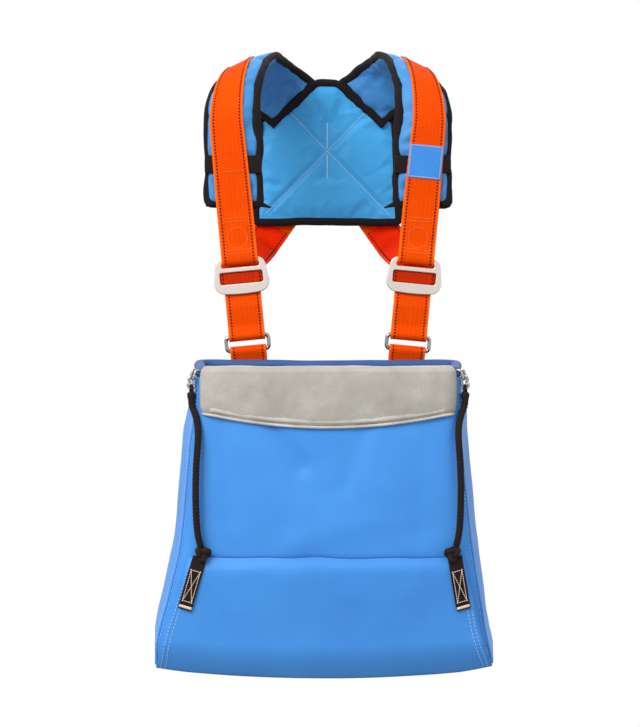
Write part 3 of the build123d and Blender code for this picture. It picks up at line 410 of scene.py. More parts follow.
def braided_cord(name, colour, pale):
    """Braided polyester cord: dull black-brown plaits with worn, paler crowns and fibres of 1 or 2 mm."""
    material, tree = new_tree(name)
    place = add(tree, "TexCoord").outputs["Object"]
    fibre = add(tree, "TexNoise", {"Vector": place, "Scale": 700.0, "Detail": 3.0})
    crown = add(tree, "NewGeometry").outputs["Pointiness"]
    worn = add(tree, "MapRange", {"Value": crown, "From Min": 0.5, "From Max": 0.58, "To Max": 0.7})
    tone = add(tree, "Mix", {"Factor": worn.outputs[0], "A": linear(colour), "B": linear(pale)},
               data_type="RGBA")
    relief = add(tree, "Bump", {"Height": fibre.outputs["Fac"], "Strength": 0.4, "Distance": 0.0003})
    shade(tree, {"Base Color": tone.outputs["Result"], "Normal": relief.outputs[0], "Roughness": 0.8,
                 "Sheen Weight": 0.03, "Specular IOR Level": 0.15})
    return material


def metal_finish(name, colour, dark, roughness, uneven, grain):
    """Metal with a fine uneven polish: grain is the size of its marks in metres."""
    material, tree = new_tree(name)
    place = add(tree, "TexCoord").outputs["Object"]
    marks = add(tree, "TexNoise", {"Vector": place, "Scale": 1 / grain, "Detail": 5.0, "Roughness": 0.7})
    polish = add(tree, "MapRange", {"Value": marks.outputs["Fac"], "From Min": 0.3, "From Max": 0.7,
                                    "To Min": roughness - uneven, "To Max": roughness + uneven})
    tone = add(tree, "Mix", {"Factor": marks.outputs["Fac"], "A": linear(colour), "B": linear(dark)},
               data_type="RGBA")
    relief = add(tree, "Bump", {"Height": marks.outputs["Fac"], "Strength": 0.12, "Distance": 0.0002})
    shade(tree, {"Base Color": tone.outputs["Result"], "Roughness": polish.outputs[0], "Metallic": 1.0,
                 "Normal": relief.outputs[0]})
    return material


# Nylon of pads and panel: a close weave with a soft sheen, light and clean in colour; the panel's copy is
# painted lighter and more cyan, standing in for the light that falls on it
PAD_CLOTH = woven_cloth("pad nylon, woven", "#4698DA", "#3478BE", 0.0014, 0.35, 0.5, 0.10)
LIT_PANEL_CLOTH = woven_cloth("panel nylon, painted lighter", "#48BAF8", "#369EE4", 0.0014, 0.35, 0.5, 0.10)

# Polyester of the bag: flatter, with wide faint blotches; the lining, the flap's edge line and the hem are
# painted darker for shade, the lining also duller as the cloth's uncoated side
BAG_CLOTH = woven_cloth("bag polyester, coated weave", "#4799EC", "#3D89DE", 0.0016, 0.3, 0.5, 0.04, 0.09)
SHADED_LINING_CLOTH = woven_cloth("lining polyester, painted shade", "#34569E", "#2A4788", 0.0016, 0.3, 0.7, 0.03)
FLAP_SHADOW_LINE_CLOTH = woven_cloth("flap edge, painted shadow line", "#2E6EB8", "#2862A6", 0.0016, 0.3, 0.6, 0.03)
SHADED_HEM_CLOTH = woven_cloth("rim hem tape, painted shade", "#38609E", "#30528A", 0.0016, 0.3, 0.6, 0.04)

# Satin of the bare label and its border: a finer weave, a little glossier
LABEL_CLOTH = woven_cloth("label satin, woven", "#3A8EE4", "#307ED2", 0.0011, 0.25, 0.45, 0.06)
LABEL_EDGE = woven_cloth("label border, woven", "#82A8D8", "#7098CA", 0.0011, 0.25, 0.5, 0.1)

# Webbing: matt and strong in colour, with ribs and brighter edges; the redder, darker copies under the arms,
# behind the buckles and in their slots are painted shade
WEBBING = webbing_cloth("strap webbing, orange polyester", "#F65000", "#E44200", "#FF6A12")
SHADED_RED_WEBBING = webbing_cloth("side strap webbing, painted shade", "#FF2E04", "#EE2802", "#FF3E12")
SHADED_SLOT_WEBBING = webbing_cloth("slot strap webbing, painted shade", "#CE3004", "#B82802", "#CE3004")

# Dull black tapes, their ribs just seen
BINDING = ribbed_tape("binding tape, grosgrain", "#1E1616", "#100B0C", 0.0016)
TAPE = ribbed_tape("flap tab tape, woven", "#241814", "#140D0C", 0.0018)

# Grey coated cloth: pebbled and dusty, paler along its piping and hem; the pale line on its top fold is a
# painted highlight
COVER = coated_cloth("rim cover, coated cloth", "#B0ACA4", "#A5A098", "#BDB9B0")
PIPING = coated_cloth("rim piping, coated cloth", "#C2BEB6", "#AFAAA2", "#D2CEC6")

# Threads, which show as small raised dashes
RED_THREAD = twisted_thread("strap thread, dark red", "#4E0C06")
PALE_THREAD = twisted_thread("quilting thread, pale blue", "#C4E6FC")
CREAM_THREAD = twisted_thread("tab thread, cream", "#E8D0C0")
# The light blue seam thread is partly real thread and partly a painted highlight along the seam ridges
BLUE_THREAD = twisted_thread("seam thread and seam highlight, light blue", "#A9CDF6")
ORANGE_THREAD = twisted_thread("sewn end thread, orange", "#FF8A3C")

# Cord: near black, its plaits picked out by worn crowns
CORD_BRAID = braided_cord("cord, braided polyester", "#1A1210", "#3A2C28")

# Metals: broad soft highlights on the cast buckle, sharp ones on the wires
BUCKLE_METAL = metal_finish("buckle, satin aluminium", "#DED4CC", "#C8BEB6", 0.46, 0.06, 0.004)
CHROME = metal_finish("ring wire, chromed steel", "#A2A2A6", "#86868A", 0.16, 0.04, 0.006)
STEEL = metal_finish("hook wire, bright steel", "#B4B0AC", "#98928C", 0.25, 0.06, 0.003)


# Modelling helpers

def take(piece):
    """Select one piece alone and make it active."""
    bpy.ops.object.select_all(action="DESELECT")
    piece.select_set(True)
    bpy.context.view_layer.objects.active = piece


def finish_with(piece, kind, **settings):
    """Add a modifier to a piece and apply it."""
    take(piece)
    modifier = piece.modifiers.new(kind, kind)
    for name, value in settings.items():
        setattr(modifier, name, value)
    bpy.ops.object.modifier_apply(modifier=modifier.name)


def thicken(piece, thickness, offset=0.0, **settings):
    """Give a sheet its thickness: about its middle, or all of it inside with an offset of -1."""
    finish_with(piece, "SOLIDIFY", thickness=thickness, offset=offset, **settings)


def round_edges(piece, width):
    """Round the cut edges of a thickened sheet."""
    finish_with(piece, "BEVEL", width=width, segments=2, limit_method="ANGLE", angle_limit=radians(50))


def merge_doubles(piece):
    """Close seams and poles and turn the faces outwards."""
    take(piece)
    bpy.ops.object.mode_set(mode="EDIT")
    bpy.ops.mesh.select_all(action="SELECT")
    bpy.ops.mesh.remove_doubles(threshold=1e-5)
    bpy.ops.mesh.dissolve_degenerate(threshold=1e-6)
    bpy.ops.mesh.normals_make_consistent(inside=False)
    bpy.ops.object.mode_set(mode="OBJECT")


def corners_of(mesh):
    """Places of a mesh's vertices."""
    return np.array([vertex.co for vertex in mesh.vertices])


def unit(vectors):
    """Vectors drawn to a length of one."""
    return vectors / np.linalg.norm(vectors, axis=-1, keepdims=True)


def ramp(value, start, end):
    """Share of the way from start to end, held between 0 and 1."""
    return np.clip((value - start) / (end - start), 0, 1)


def bell(distance, width):
    """Smooth hump: 1 in the middle, dying away over the width."""
    return np.exp(-(distance / width) ** 2)


def dome(place, half):
    """Parabola: 1 in the middle, 0 at the half width and beyond."""
    return np.clip(1 - (place / half) ** 2, 0, 1)


def rounded(share):
    """Height of a quarter-round edge at a share of its width."""
    return np.sqrt(np.clip(1 - (1 - share) ** 2, 0, 1))


def ripple(points, size, seed):
    """Smooth unevenness in -1 to 1 at each point; size is the width of a wave."""
    offset = Vector((seed * 7.3, seed * 3.1, seed * 5.7))
    values = [noise.noise(Vector(point) / size + offset) for point in points.reshape(-1, 3)]
    return np.array(values).reshape(points.shape[:-1])


def run_lengths(points):
    """Distance of each point from the first, along the line."""
    steps = np.linalg.norm(np.diff(points, axis=0), axis=1)
    return np.concatenate([[0.0], np.cumsum(steps)])


def read_at(rows, lengths, wanted):
    """Rows of a line read at the wanted distances along it."""
    return np.stack([np.interp(wanted, lengths, column) for column in rows.T], axis=1)


def facing_front(line):
    """The forward direction, once for each point of a line."""
    return np.tile(FRONT, (len(line), 1))


def mirrored_sheet(rows, side):
    """Rows of a sheet drawn for the right, or its left-hand twin with the same face outwards."""
    return rows if side == "right" else rows[:, ::-1] * FLIP["left"]


def laid_grid(name, points, closed=False):
    """A grid primitive with its vertices laid on rows of points, and its UV map in metres."""
    points = np.asarray(points, float)
    rows, columns = points.shape[:2]
    bpy.ops.object.select_all(action="DESELECT")
    bpy.ops.mesh.primitive_grid_add(x_subdivisions=columns - 1, y_subdivisions=rows - 1, size=1)
    piece = bpy.context.object
    piece.name = name
    mesh = piece.data
    mesh.name = name
    mesh.vertices.foreach_set("co", points.ravel())
    widest = np.linalg.norm(np.diff(points, axis=1), axis=2).sum(axis=1).argmax()
    across = run_lengths(points[widest])
    along = run_lengths(points[:, columns // 3])
    corner = np.empty(len(mesh.loops), int)
    mesh.loops.foreach_get("vertex_index", corner)
    uv = np.stack([across[corner % columns], along[corner // columns]], axis=1)
    mesh.uv_layers.active.name = "UVMap"
    mesh.uv_layers.active.data.foreach_set("uv", uv.ravel())
    bpy.ops.object.shade_smooth()
    if closed:
        merge_doubles(piece)
    return piece


def dress(piece, material, body, slot, *nodes):
    """Give a piece its finish, the body it rides on and the nodes it stands for; the slot argument is not
    used.
    """
    piece.data.materials.clear()
    piece.data.materials.append(material)
    if body:
        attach(piece, body)
    if nodes:
        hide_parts(*nodes)
    return piece


def respaced(stations, spacing):
    """Stations moved to an even spacing along their line."""
    lengths = run_lengths(stations[0])
    count = max(3, int(round(lengths[-1] / spacing)) + 1)
    wanted = np.linspace(0.0, lengths[-1], count)
    points, across, outward = (read_at(rows, lengths, wanted) for rows in stations)
    return points, unit(across), unit(outward)


def softened(stations, passes):
    """Stations with their corners eased, ends kept."""
    eased = [rows.copy() for rows in stations]
    for _ in range(passes):
        for rows in eased:
            rows[1:-1] = (rows[:-2] + 2 * rows[1:-1] + rows[2:]) / 4
    return eased[0], unit(eased[1]), unit(eased[2])


def on_side(stations, side):
    """Stations of a band drawn for the right, or of its left-hand twin."""
    points, across, outward = stations
    flip = FLIP[side]
    return points * flip, across * flip * flip[0], outward * flip


def tube(name, points, normals, half_width, half_thick, sides=12, loop=False, flare=None):
    """Rounded band along a line: wide across it, thin along the normals, with capped ends."""
    points = np.asarray(points, float)
    normals = unit(np.asarray(normals, float))
    if loop:
        points = np.vstack([points, points[:1]])
        normals = np.vstack([normals, normals[:1]])
        along = np.gradient(np.vstack([points[-2:-1], points, points[1:2]]), axis=0)[1:-1]
    else:
        along = np.gradient(points, axis=0)
    side = unit(np.cross(along, normals))
    turns = np.linspace(0, 2 * pi, sides + 1)
    scale = np.ones(len(points)) if flare is None else flare
    rings = []
    for point, across, normal, size in zip(points, side, normals, scale):
        rings.append([point + size * (across * half_width * cos(turn) + normal * half_thick * sin(turn))
                      for turn in turns])
    if not loop:
        rings.insert(0, [points[0]] * (sides + 1))
        rings.append([points[-1]] * (sides + 1))
    return laid_grid(name, np.array(rings), closed=True)


def bead_shape():
    """One thread stitch: a small rounded bead, one metre long, one wide."""
    bpy.ops.object.select_all(action="DESELECT")
    bpy.ops.mesh.primitive_uv_sphere_add(segments=6, ring_count=4, radius=0.5)
    bead = bpy.context.object
    corners = corners_of(bead.data)
    faces = [tuple(face.vertices) for face in bead.data.polygons]
    bpy.data.objects.remove(bead)
    return corners[:, (2, 0, 1)], faces


BEAD_CORNERS, BEAD_FACES = bead_shape()


def sew(name, runs, stitch, thread, body, slot):
    """One piece of stitching along runs of (points, normals), with a bead of thread for each stitch.

    A stitch is given as its pitch, length and width."""
    pitch, length, width = stitch
    corners, faces = [], []
    for points, normals in runs:
        line, _, facing = respaced((np.asarray(points), normals, normals), pitch)
        along = unit(np.gradient(line, axis=0))
        side = unit(np.cross(facing, along))
        for centre, forward, across, out in zip(line, along, side, facing):
            start = len(corners) * len(BEAD_CORNERS)
            turned = (BEAD_CORNERS[:, :1] * forward * length + BEAD_CORNERS[:, 1:2] * across * width
                      + BEAD_CORNERS[:, 2:] * out * width * 0.7)
            corners.append(turned + centre)
            faces.extend(tuple(start + number for number in face) for face in BEAD_FACES)
    mesh = bpy.data.meshes.new(name)
    mesh.from_pydata(np.vstack(corners).tolist(), [], faces)
    piece = bpy.data.objects.new(name, mesh)
    bpy.context.scene.collection.objects.link(piece)
    take(piece)
    bpy.ops.object.shade_smooth()
    return dress(piece, thread, body, slot)


def puff(piece, held, pressure, spare, cap):
    """Fill a closed cloth shell: sewn points are held, spare cloth makes the puckers.

    No point moves further than the cap."""
    rest = corners_of(piece.data)
    group = piece.vertex_groups.new(name="sewn")
    group.add([int(number) for number in np.flatnonzero(held)], 1.0, "REPLACE")
    take(piece)
    cloth = piece.modifiers.new("Cloth", "CLOTH")
    settings = cloth.settings
    settings.quality = 6
    settings.mass = 0.25
    settings.tension_stiffness = 12
    settings.compression_stiffness = 12
    settings.shear_stiffness = 4
    settings.bending_stiffness = 0.4
    settings.use_pressure = True
    settings.uniform_pressure_force = pressure
    settings.shrink_min = -spare
    settings.vertex_group_mass = group.name
    settings.effector_weights.gravity = 0
    cloth.collision_settings.use_collision = False
    cloth.point_cache.frame_end = PUFF_FRAMES
    for step in range(1, PUFF_FRAMES + 1):
        bpy.context.scene.frame_set(step)
    bpy.ops.object.modifier_apply(modifier=cloth.name)
    bpy.context.scene.frame_set(1)
    moved = corners_of(piece.data) - rest
    size = np.linalg.norm(moved, axis=1, keepdims=True)
    kept = rest + moved * np.minimum(1.0, cap / np.maximum(size, 1e-9))
    piece.data.vertices.foreach_set("co", kept.ravel())
    piece.data.update()
    piece.vertex_groups.clear()


# Lines that the harness follows, drawn for the right side as stations of (points, across, outward)

def arch_share(turn):
    """How far a turn lies along its half of the shoulder's arch: front to crest, or crest to seam."""
    return sin(turn) ** 2 if turn <= pi / 2 else 1 - sin(turn)


def arch_across(turn, front_angle):
    """Direction across a band on the arch, sloping from its front angle to the panel's seam."""
    share = arch_share(turn)
    if turn <= pi / 2:
        angle = front_angle + (SHOULDER_ROLL - front_angle) * share + SHOULDER_TWIST * sin(2 * turn)
    else:
        angle = SHOULDER_ROLL + (SEAM_SLOPE - SHOULDER_ROLL) * share
    return np.array((cos(angle), 0.0, -sin(angle)))


def flattened(depth):
    """Share of the crest's flattening, where the shoulder presses, at a depth along the arch."""
    return bell(depth, CREST_FLATTEN_REACH)


def arch_place(turn, offset, shift):
    """Point on the pads' middle surface, turned from 0 at the front to pi at the panel's seam.

    It lies offset from the arch's own line at the front, and shift from it at the crest."""
    share = arch_share(turn)
    if turn <= pi / 2:
        point = np.array((PAD_FRONT_X + (PAD_CREST_X - PAD_FRONT_X) * share, PAD_FRONT_Y * cos(turn),
                          -PAD_TURN_DROP + (CREST_Z + PAD_TURN_DROP) * sin(turn)))
        aside = offset + (shift - offset) * share
    else:
        crest = np.array((PAD_CREST_X, -BACK_Y * cos(turn), CREST_Z))
        point = crest + (SEAM_MIDDLE - crest) * (1.0, 0.0, 1.0) * share
        aside = shift * (1 - share)
    return point + arch_across(turn, 0.0) * aside


def shoulder_line(front_x, front_angle, rise, end_rise, shift):
    """A band over the shoulder, from the front turn to the seam, lifted off the pad's middle."""
    offset = front_x - PAD_FRONT_X
    points, across, outward = [], [], []
    for turn in np.linspace(0, pi, ARCH_STATIONS):
        near = arch_place(max(turn - ARCH_STEP, 0), offset, shift)
        far = arch_place(min(turn + ARCH_STEP, pi), offset, shift)
        side = arch_across(turn, front_angle)
        out = unit(np.cross(side, far - near))
        lift = rise if turn <= pi / 2 else rise + (end_rise - rise) * arch_share(turn)
        place = arch_place(turn, offset, shift)
        points.append(place + out * (lift - CREST_FLATTEN * flattened(place[1])))
        across.append(side)
        outward.append(out)
    return np.array(points), np.array(across), np.array(outward)


def pad_line():
    """Middle surface of a pad, from its lower front end to the panel."""
    stations = shoulder_line(PAD_FRONT_X, 0.0, 0.0, 0.0, -PAD_NECK_SHIFT)
    foot = np.array((PAD_FRONT_X, PAD_FRONT_Y, -PAD_DROP + PAD_END_MARGIN))
    starts = (foot, stations[1][0], stations[2][0])
    longer = [np.vstack([start, rows]) for start, rows in zip(starts, stations)]
    return softened(respaced(longer, PAD_SPACING), 4)


def pad_halves(points):
    """Half width of the pad at each station: wider towards the panel, drawn in by the keeper band."""
    depth = points[:, 1]
    front = np.arccos(np.clip(depth / PAD_FRONT_Y, 0, 1))
    behind = pi - np.arccos(np.clip(depth / BACK_Y, 0, 1))
    half = PAD_HALF + (PAD_END_HALF - PAD_HALF) * np.where(depth < 0, front, behind) / pi
    squeeze = bell(points[:, 2] + BAND_DROP, BAND_REACH) * (depth < 0.9 * PAD_FRONT_Y)
    return half * (1 - BAND_SQUEEZE * squeeze)


def belt_line(centre, route):
    """A strap whose route of (forward, up) points lies in its own upright plane."""
    points = np.array([centre + FRONT * forward + UP * up for forward, up in route])
    across = np.tile(ACROSS, (len(points), 1))
    return points, across, unit(np.cross(across, np.gradient(points, axis=0)))


def arc_route(forward, up, radius, start, end):
    """Route round a bar or a wire, between two angles in degrees."""
    turns = np.radians(np.linspace(start, end, 15))
    return [(forward + radius * cos(turn), up + radius * sin(turn)) for turn in turns]


def strap_depth(layer):
    """How far behind the panel's middle a strap lies, as the first or second layer."""
    return PANEL_OUTER + STRAP_THICK / 2 + layer * LAYER


def shoulder_strap_line(layer):
    """Sewn fold behind, loop round the buckle's top bar, up the front and over the pad."""
    route = [(-LAYER, SEWN_LENGTH), (-LAYER, FOLD_JOINED), (-BAR_CLEAR, FOLD_SPREAD)]
    route += arc_route(0, BUCKLE_TOP - 0.0056, BAR_CLEAR, 180, 360)
    route += [(BAR_CLEAR, FOLD_SPREAD), (0, FOLD_JOINED), (0, SEWN_LENGTH)]
    rise = (-PAD_TURN_DROP - BUCKLE_CENTRE[2]) / UP[2]
    arch = shoulder_line(BUCKLE_CENTRE[0] + UP[0] * rise, STRAP_LEAN, STRAP_RISE, strap_depth(layer),
                         STRAP_CREST_SHIFT)
    whole = [np.vstack([low, high]) for low, high in zip(belt_line(BUCKLE_CENTRE, route), arch)]
    return softened(respaced(whole, STRAP_SPACING), 2)


def back_strap_line(layer):
    """Across the outside of the panel, from the seam to the far lower corner."""
    depth = np.array((0.0, strap_depth(layer), 0.0))
    start = SEAM_MIDDLE + depth
    end = BACK_STRAP_END + depth
    along = unit(end - start)
    across = np.array((-along[2], 0.0, along[0]))
    seam = np.array((cos(SEAM_SLOPE), 0.0, -sin(SEAM_SLOPE)))
    points = np.array([start, start + along * STRAP_WIDTH / 2, end])
    return respaced((points, np.array([seam, across, across]), -facing_front(points)), STRAP_SPACING)


def side_strap_line(layer):
    """From the panel's lower corner forward under the arm to the back of the buckle."""
    depth = np.array((0.0, strap_depth(layer), 0.0))
    start = BACK_STRAP_END * FLIP["left"] + depth
    run = unit(SEAM_MIDDLE - BACK_STRAP_END)
    along = np.array((run[0], 0.0, -run[2]))
    across = np.array((run[2], 0.0, run[0]))
    below = start + along * 0.014
    turn = below + along * 0.012 - depth
    arrive = BUCKLE_CENTRE - FRONT * 0.0179
    forward = unit(arrive - turn)
    near = arrive - forward * 0.040
    points = np.array([start, below, turn, (turn + near) / 2, near, arrive, arrive - UP * 0.015])
    sides = np.array([across, across, across, unit(across + ACROSS), ACROSS, ACROSS, ACROSS])
    ways = np.array([along, unit(along + 0.4 * forward), unit(0.4 * along + forward), forward, forward,
                     np.array((0.0, -0.5, -0.87)), -UP])
    return softened(respaced((points, sides, unit(np.cross(sides, ways))), STRAP_SPACING), 6)


def lower_strap_line():
    """From the buckle's pin down to the ring, folded back and sewn at both ends."""
    bottom = -BUCKLE_TOP - 0.003
    front = PIN_FORWARD + PIN_WRAP
    ring_up = RING_HALF_PITCH - BUCKLE_RISE + RING_SLACK
    route = [(front - LAYER, bottom - 0.008), (front - LAYER, bottom),
             (PIN_FORWARD - PIN_WRAP, PIN_UP - 0.004)]
    route += arc_route(PIN_FORWARD, PIN_UP, PIN_WRAP, 180, 0)
    route += [(front, bottom), (0, bottom - 0.016), (0, ring_up + LOOP_NECK)]
    route += arc_route(0, ring_up, RING_LOOP, LOOP_OVERLAP, -180 - LOOP_OVERLAP)
    route += [(-LAYER, ring_up + LOOP_NECK), (-LAYER, bottom - 0.016)]
    return softened(respaced(belt_line(BUCKLE_CENTRE, route), LOOP_SPACING), 1)


def bag_tab_line():
    """Tab that hangs the bag from the ring's lower wire."""
    ring_up = -RING_HALF_PITCH - RING_SLACK
    low = ring_up - BAG_TAB_DROP
    route = [(LAYER / 2, low), (LAYER / 2, ring_up - LOOP_NECK)]
    route += arc_route(0, ring_up, RING_LOOP, -LOOP_OVERLAP, 180 + LOOP_OVERLAP)
    route += [(-LAYER / 2, ring_up - LOOP_NECK), (-LAYER / 2, low)]
    return softened(respaced(belt_line(RING_CENTRE, route), LOOP_SPACING), 1)


# Shoulder pads, panel and bindings

def tucked(points, spread, side):
    """Shift across the pad that draws its inner edge in, below the crest in front.

    The spread runs from -1 to 1 across the pad."""
    tuck = NECK_TUCK * ramp(points[:, 1], 0.0, -0.045) * ramp(points[:, 2], -0.095, -0.030)
    inner = -FLIP[side][0]
    return -inner * tuck[:, None] * (1 + inner * np.asarray(spread)) / 2


def shoulder_pad(side):
    """Padded nylon shell, thin at its sewn edges and thinner towards the panel."""
    points, across, outward = on_side(pad_line(), side)
    share = np.linspace(0, 1, len(points))
    from_end = np.minimum(share, 1 - share) * len(points) * PAD_SPACING
    thick = PAD_THICK - (PAD_THICK - PANEL_THICK) * ramp(share, 0.55, 1.0) ** 2
    thick = thick * rounded(ramp(from_end, 0.0, 0.012)) * (1 - 0.2 * flattened(points[:, 1]))
    spread = np.linspace(-1, 1, 17)
    crown = np.sqrt(1 - np.abs(spread) ** 5)
    half = pad_halves(points) - SEWN_EDGE
    across_at = spread * half[:, None] + tucked(points, spread, side)
    middle = points[:, None] + across[:, None] * across_at[..., None]
    rise = outward[:, None] * (thick[:, None] * crown / 2)[..., None]
    under = middle - rise
    slack = PAD_SLACK * ramp(share, 0.5, 0.7)[:, None] * crown * ripple(under, 0.020, 7)
    under = under + outward[:, None] * slack[..., None]
    shell = np.concatenate([middle + rise, under[:, ::-1]], axis=1)
    piece = laid_grid(f"{side}_shoulder_pad", shell, closed=True)
    edge = np.vstack([middle[:, 0], middle[:, -1], middle[0], middle[-1]])
    reach = np.linalg.norm(corners_of(piece.data)[:, None] - edge, axis=2).min(axis=1)
    puff(piece, held=reach < SEWN_EDGE, pressure=3.0, spare=0.05, cap=0.0035)
    finish_with(piece, "SUBSURF", levels=1, render_levels=1)
    dress(piece, PAD_CLOTH, "harness", "blue_cloth", f"shoulder_pad_{side}")


def pad_binding(side):
    """Tape round the pad's two long edges and its front end, a little wavy and wider at the neck."""
    points, across, outward = on_side(pad_line(), side)
    reach = (pad_halves(points) - BINDING_HALF + 0.001)[:, None]
    edges = [points + across * (place * reach + tucked(points, [place], side)) for place in (1, -1)]
    line = np.vstack([edges[0][::-1], edges[1]])
    normals = np.vstack([outward[::-1], outward])
    line, _, normals = softened(respaced((line, normals, normals), 0.004), 1)
    line = line + normals * (ripple(line, 0.03, 3) * 0.0012)[:, None]
    wave = np.cross(np.gradient(line, axis=0), normals)
    line = line + unit(wave) * (ripple(line, 0.022, 5) * 0.0016)[:, None]
    outer, neck = 0.92, 1.1
    first, second = (outer, neck) if side == "right" else (neck, outer)
    flare = np.where(np.linspace(0, 1, len(line)) < 0.5, first, second)
    piece = tube(f"{side}_pad_binding", line, normals, BINDING_HALF, BINDING_THICK / 2, flare=flare)
    dress(piece, BINDING, "harness", "edge_binding", f"pad_binding_{side}")


def binding_ends(side):
    """Loose end of the tape at the pad's inner lower corner, and its thick fold at the outer one."""
    for name, start, end, forward, flare in (
            ("tail", (0.0960, -0.1745), (0.0725, -0.1825), 0.0020, (1.1, 0.12)),
            ("fold", (0.1545, -0.1480), (0.1485, -0.1800), 0.0028, (0.4, 1.5))):
        y = PAD_FRONT_Y - forward
        line = np.linspace((start[0], y, start[1]), (end[0], y, end[1]), 10) * FLIP[side]
        piece = tube(f"{side}_binding_{name}", line, facing_front(line), BINDING_HALF, 0.0016,
                     flare=np.linspace(*flare, 10))
        dress(piece, BINDING, "harness", "edge_binding")


def keeper_band(side):
    """Band round the pad that holds the strap down."""
    half_wide, half_thick, squareness = 0.0360, 0.0081, 0.28
    turns = np.linspace(0, 2 * pi, 48, endpoint=False)
    x, y = (half * np.sign(wave) * np.abs(wave) ** squareness
            for half, wave in ((half_wide, np.cos(turns)), (half_thick, np.sin(turns))))
    line = np.stack([FLIP[side][0] * PAD_FRONT_X + x, PAD_FRONT_Y + y, np.full(48, -BAND_DROP)], axis=1)
    normals = np.stack([x / half_wide ** 2, y / half_thick ** 2, np.zeros(48)], axis=1)
    piece = tube(f"{side}_keeper_band", line, normals, BAND_WIDTH / 2, 0.0007, sides=16, loop=True)
    dress(piece, BINDING, "harness", "edge_binding", f"keeper_band_{side}")


def panel_half(z):
    """Half width of the panel at a height."""
    return np.interp(-z, (-PANEL_TOP_Z, -PANEL_SIDE_Z - 0.002, -PANEL_SIDE_Z, -PANEL_BOTTOM_Z),
                     (PANEL_TOP_HALF, NOTCH_HALF, PANEL_SIDE_HALF, PANEL_BOTTOM_HALF))


def panel_margin(x, z):
    """Distance of points in the panel's plane from its sewn edge."""
    above = np.minimum(z - PANEL_BOTTOM_Z, PANEL_TOP_Z - z)
    return np.minimum(panel_half(z) - np.abs(x), above) - SEWN_EDGE


def line_distance(x, z, start, end):
    """Distance of points from a line between two (x, z) places, in an upright plane."""
    run = np.subtract(end, start)
    share = np.clip(((x - start[0]) * run[0] + (z - start[1]) * run[1]) / run.dot(run), 0, 1)
    return np.hypot(x - start[0] - share * run[0], z - start[1] - share * run[1])


def quilt_distance(x, z):
    """Distance of points in the panel's plane from the nearest sewn line."""
    return np.min([line_distance(x, z, *line) for line in QUILT_CROSS + QUILT_UPRIGHT], axis=0)


def back_panel():
    """Quilted panel: padded nylon drawn down along the sewn cross."""
    heights = np.linspace(PANEL_BOTTOM_Z + SEWN_EDGE, PANEL_TOP_Z - SEWN_EDGE, 58)
    x = (panel_half(heights) - SEWN_EDGE)[:, None] * np.linspace(-1, 1, 61)
    z = np.broadcast_to(heights[:, None], x.shape)
    full = PANEL_THICK / 2 * rounded(np.clip((panel_margin(x, z) - 0.004) / 0.016, 0.05, 1))
    drawn = np.minimum(QUILT_DEPTH * bell(quilt_distance(x, z), 0.005), full)
    middle = BACK_Y + BEHIND_PAD * ramp(np.abs(x), 0.060, 0.080) * ramp(z, -0.085, -0.065)
    front = np.stack([x, middle - full + drawn, z], axis=2)
    back = np.stack([x, middle + full * 0.8, z], axis=2)
    piece = laid_grid("quilted_back_panel", np.concatenate([front, back[:, ::-1]], axis=1), closed=True)
    x, _, z = corners_of(piece.data).T
    sewn = (quilt_distance(x, z) < 0.0022) | (panel_margin(x, z) < 0.006)
    puff(piece, held=sewn, pressure=2.5, spare=0.03, cap=0.002)
    finish_with(piece, "SUBSURF", levels=1, render_levels=1)
    # The panel's nylon is a lighter copy of the pads' nylon: painted light
    dress(piece, LIT_PANEL_CLOTH, "harness", "blue_cloth", "back_panel")


def panel_outline():
    """Closed line round the panel, its corners eased."""
    right = np.array([(PANEL_TOP_HALF, BACK_Y, PANEL_TOP_Z), (NOTCH_HALF, BACK_Y + 0.004, PANEL_SIDE_Z),
                      (PANEL_SIDE_HALF, BACK_Y + BEHIND_PAD, PANEL_SIDE_Z),
                      (PANEL_SIDE_HALF, BACK_Y, PANEL_SHOULDER_Z),
                      (PANEL_BOTTOM_HALF, BACK_Y, PANEL_BOTTOM_Z)])
    line = np.vstack([right, right[::-1] * FLIP["left"], right[:1]])
    lengths = run_lengths(line)
    loop = read_at(line, lengths, np.linspace(0, lengths[-1], 180, endpoint=False))
    for _ in range(2):
        loop = (np.roll(loop, 1, axis=0) + 2 * loop + np.roll(loop, -1, axis=0)) / 4
    return loop


def back_panel_binding():
    """Tape round the panel's edge, a little uneven."""
    loop = panel_outline()
    inward = unit(np.array((0.0, BACK_Y, -0.11)) - loop)
    loop = loop + inward * (0.004 + ripple(loop, 0.03, 8) * 0.0012)[:, None]
    piece = tube("panel_edge_binding", loop, facing_front(loop), 0.0056, 0.0050, loop=True)
    dress(piece, BINDING, "harness", "edge_binding", "back_panel_binding")


def seam_tapes():
    """Tape over the sloping seam between each pad and the panel."""
    y = BACK_Y - 0.0042
    top = np.array((PANEL_TOP_HALF, y, PANEL_TOP_Z))
    foot = np.array((PANEL_SHOULDER_HALF, y, PANEL_SHOULDER_Z))
    seam = top + (foot - top) * np.linspace(0.02, 0.985, 24)[:, None]
    for side in SIDES:
        line = seam * FLIP[side]
        line[:, 2] += ripple(line, 0.03, 9) * 0.0008
        piece = tube(f"{side}_seam_tape", line, facing_front(line), BINDING_HALF, 0.0022)
        dress(piece, BINDING, "harness", "edge_binding")


def quilt_stitches():
    """Pale thread along the sewn cross and its upright, on the panel's inner side."""
    y = BACK_Y - PANEL_THICK / 2 + 0.0010
    for name, lines, stitch in (("quilt_stitches", QUILT_CROSS, CROSS_STITCH),
                                ("quilt_upright", QUILT_UPRIGHT, UPRIGHT_STITCH)):
        runs = []
        for ends in lines:
            line = np.array([(x, y, z) for x, z in ends])
            runs.append((line, facing_front(line)))
        sew(name, runs, stitch, PALE_THREAD, "harness", "blue_cloth")


# Straps

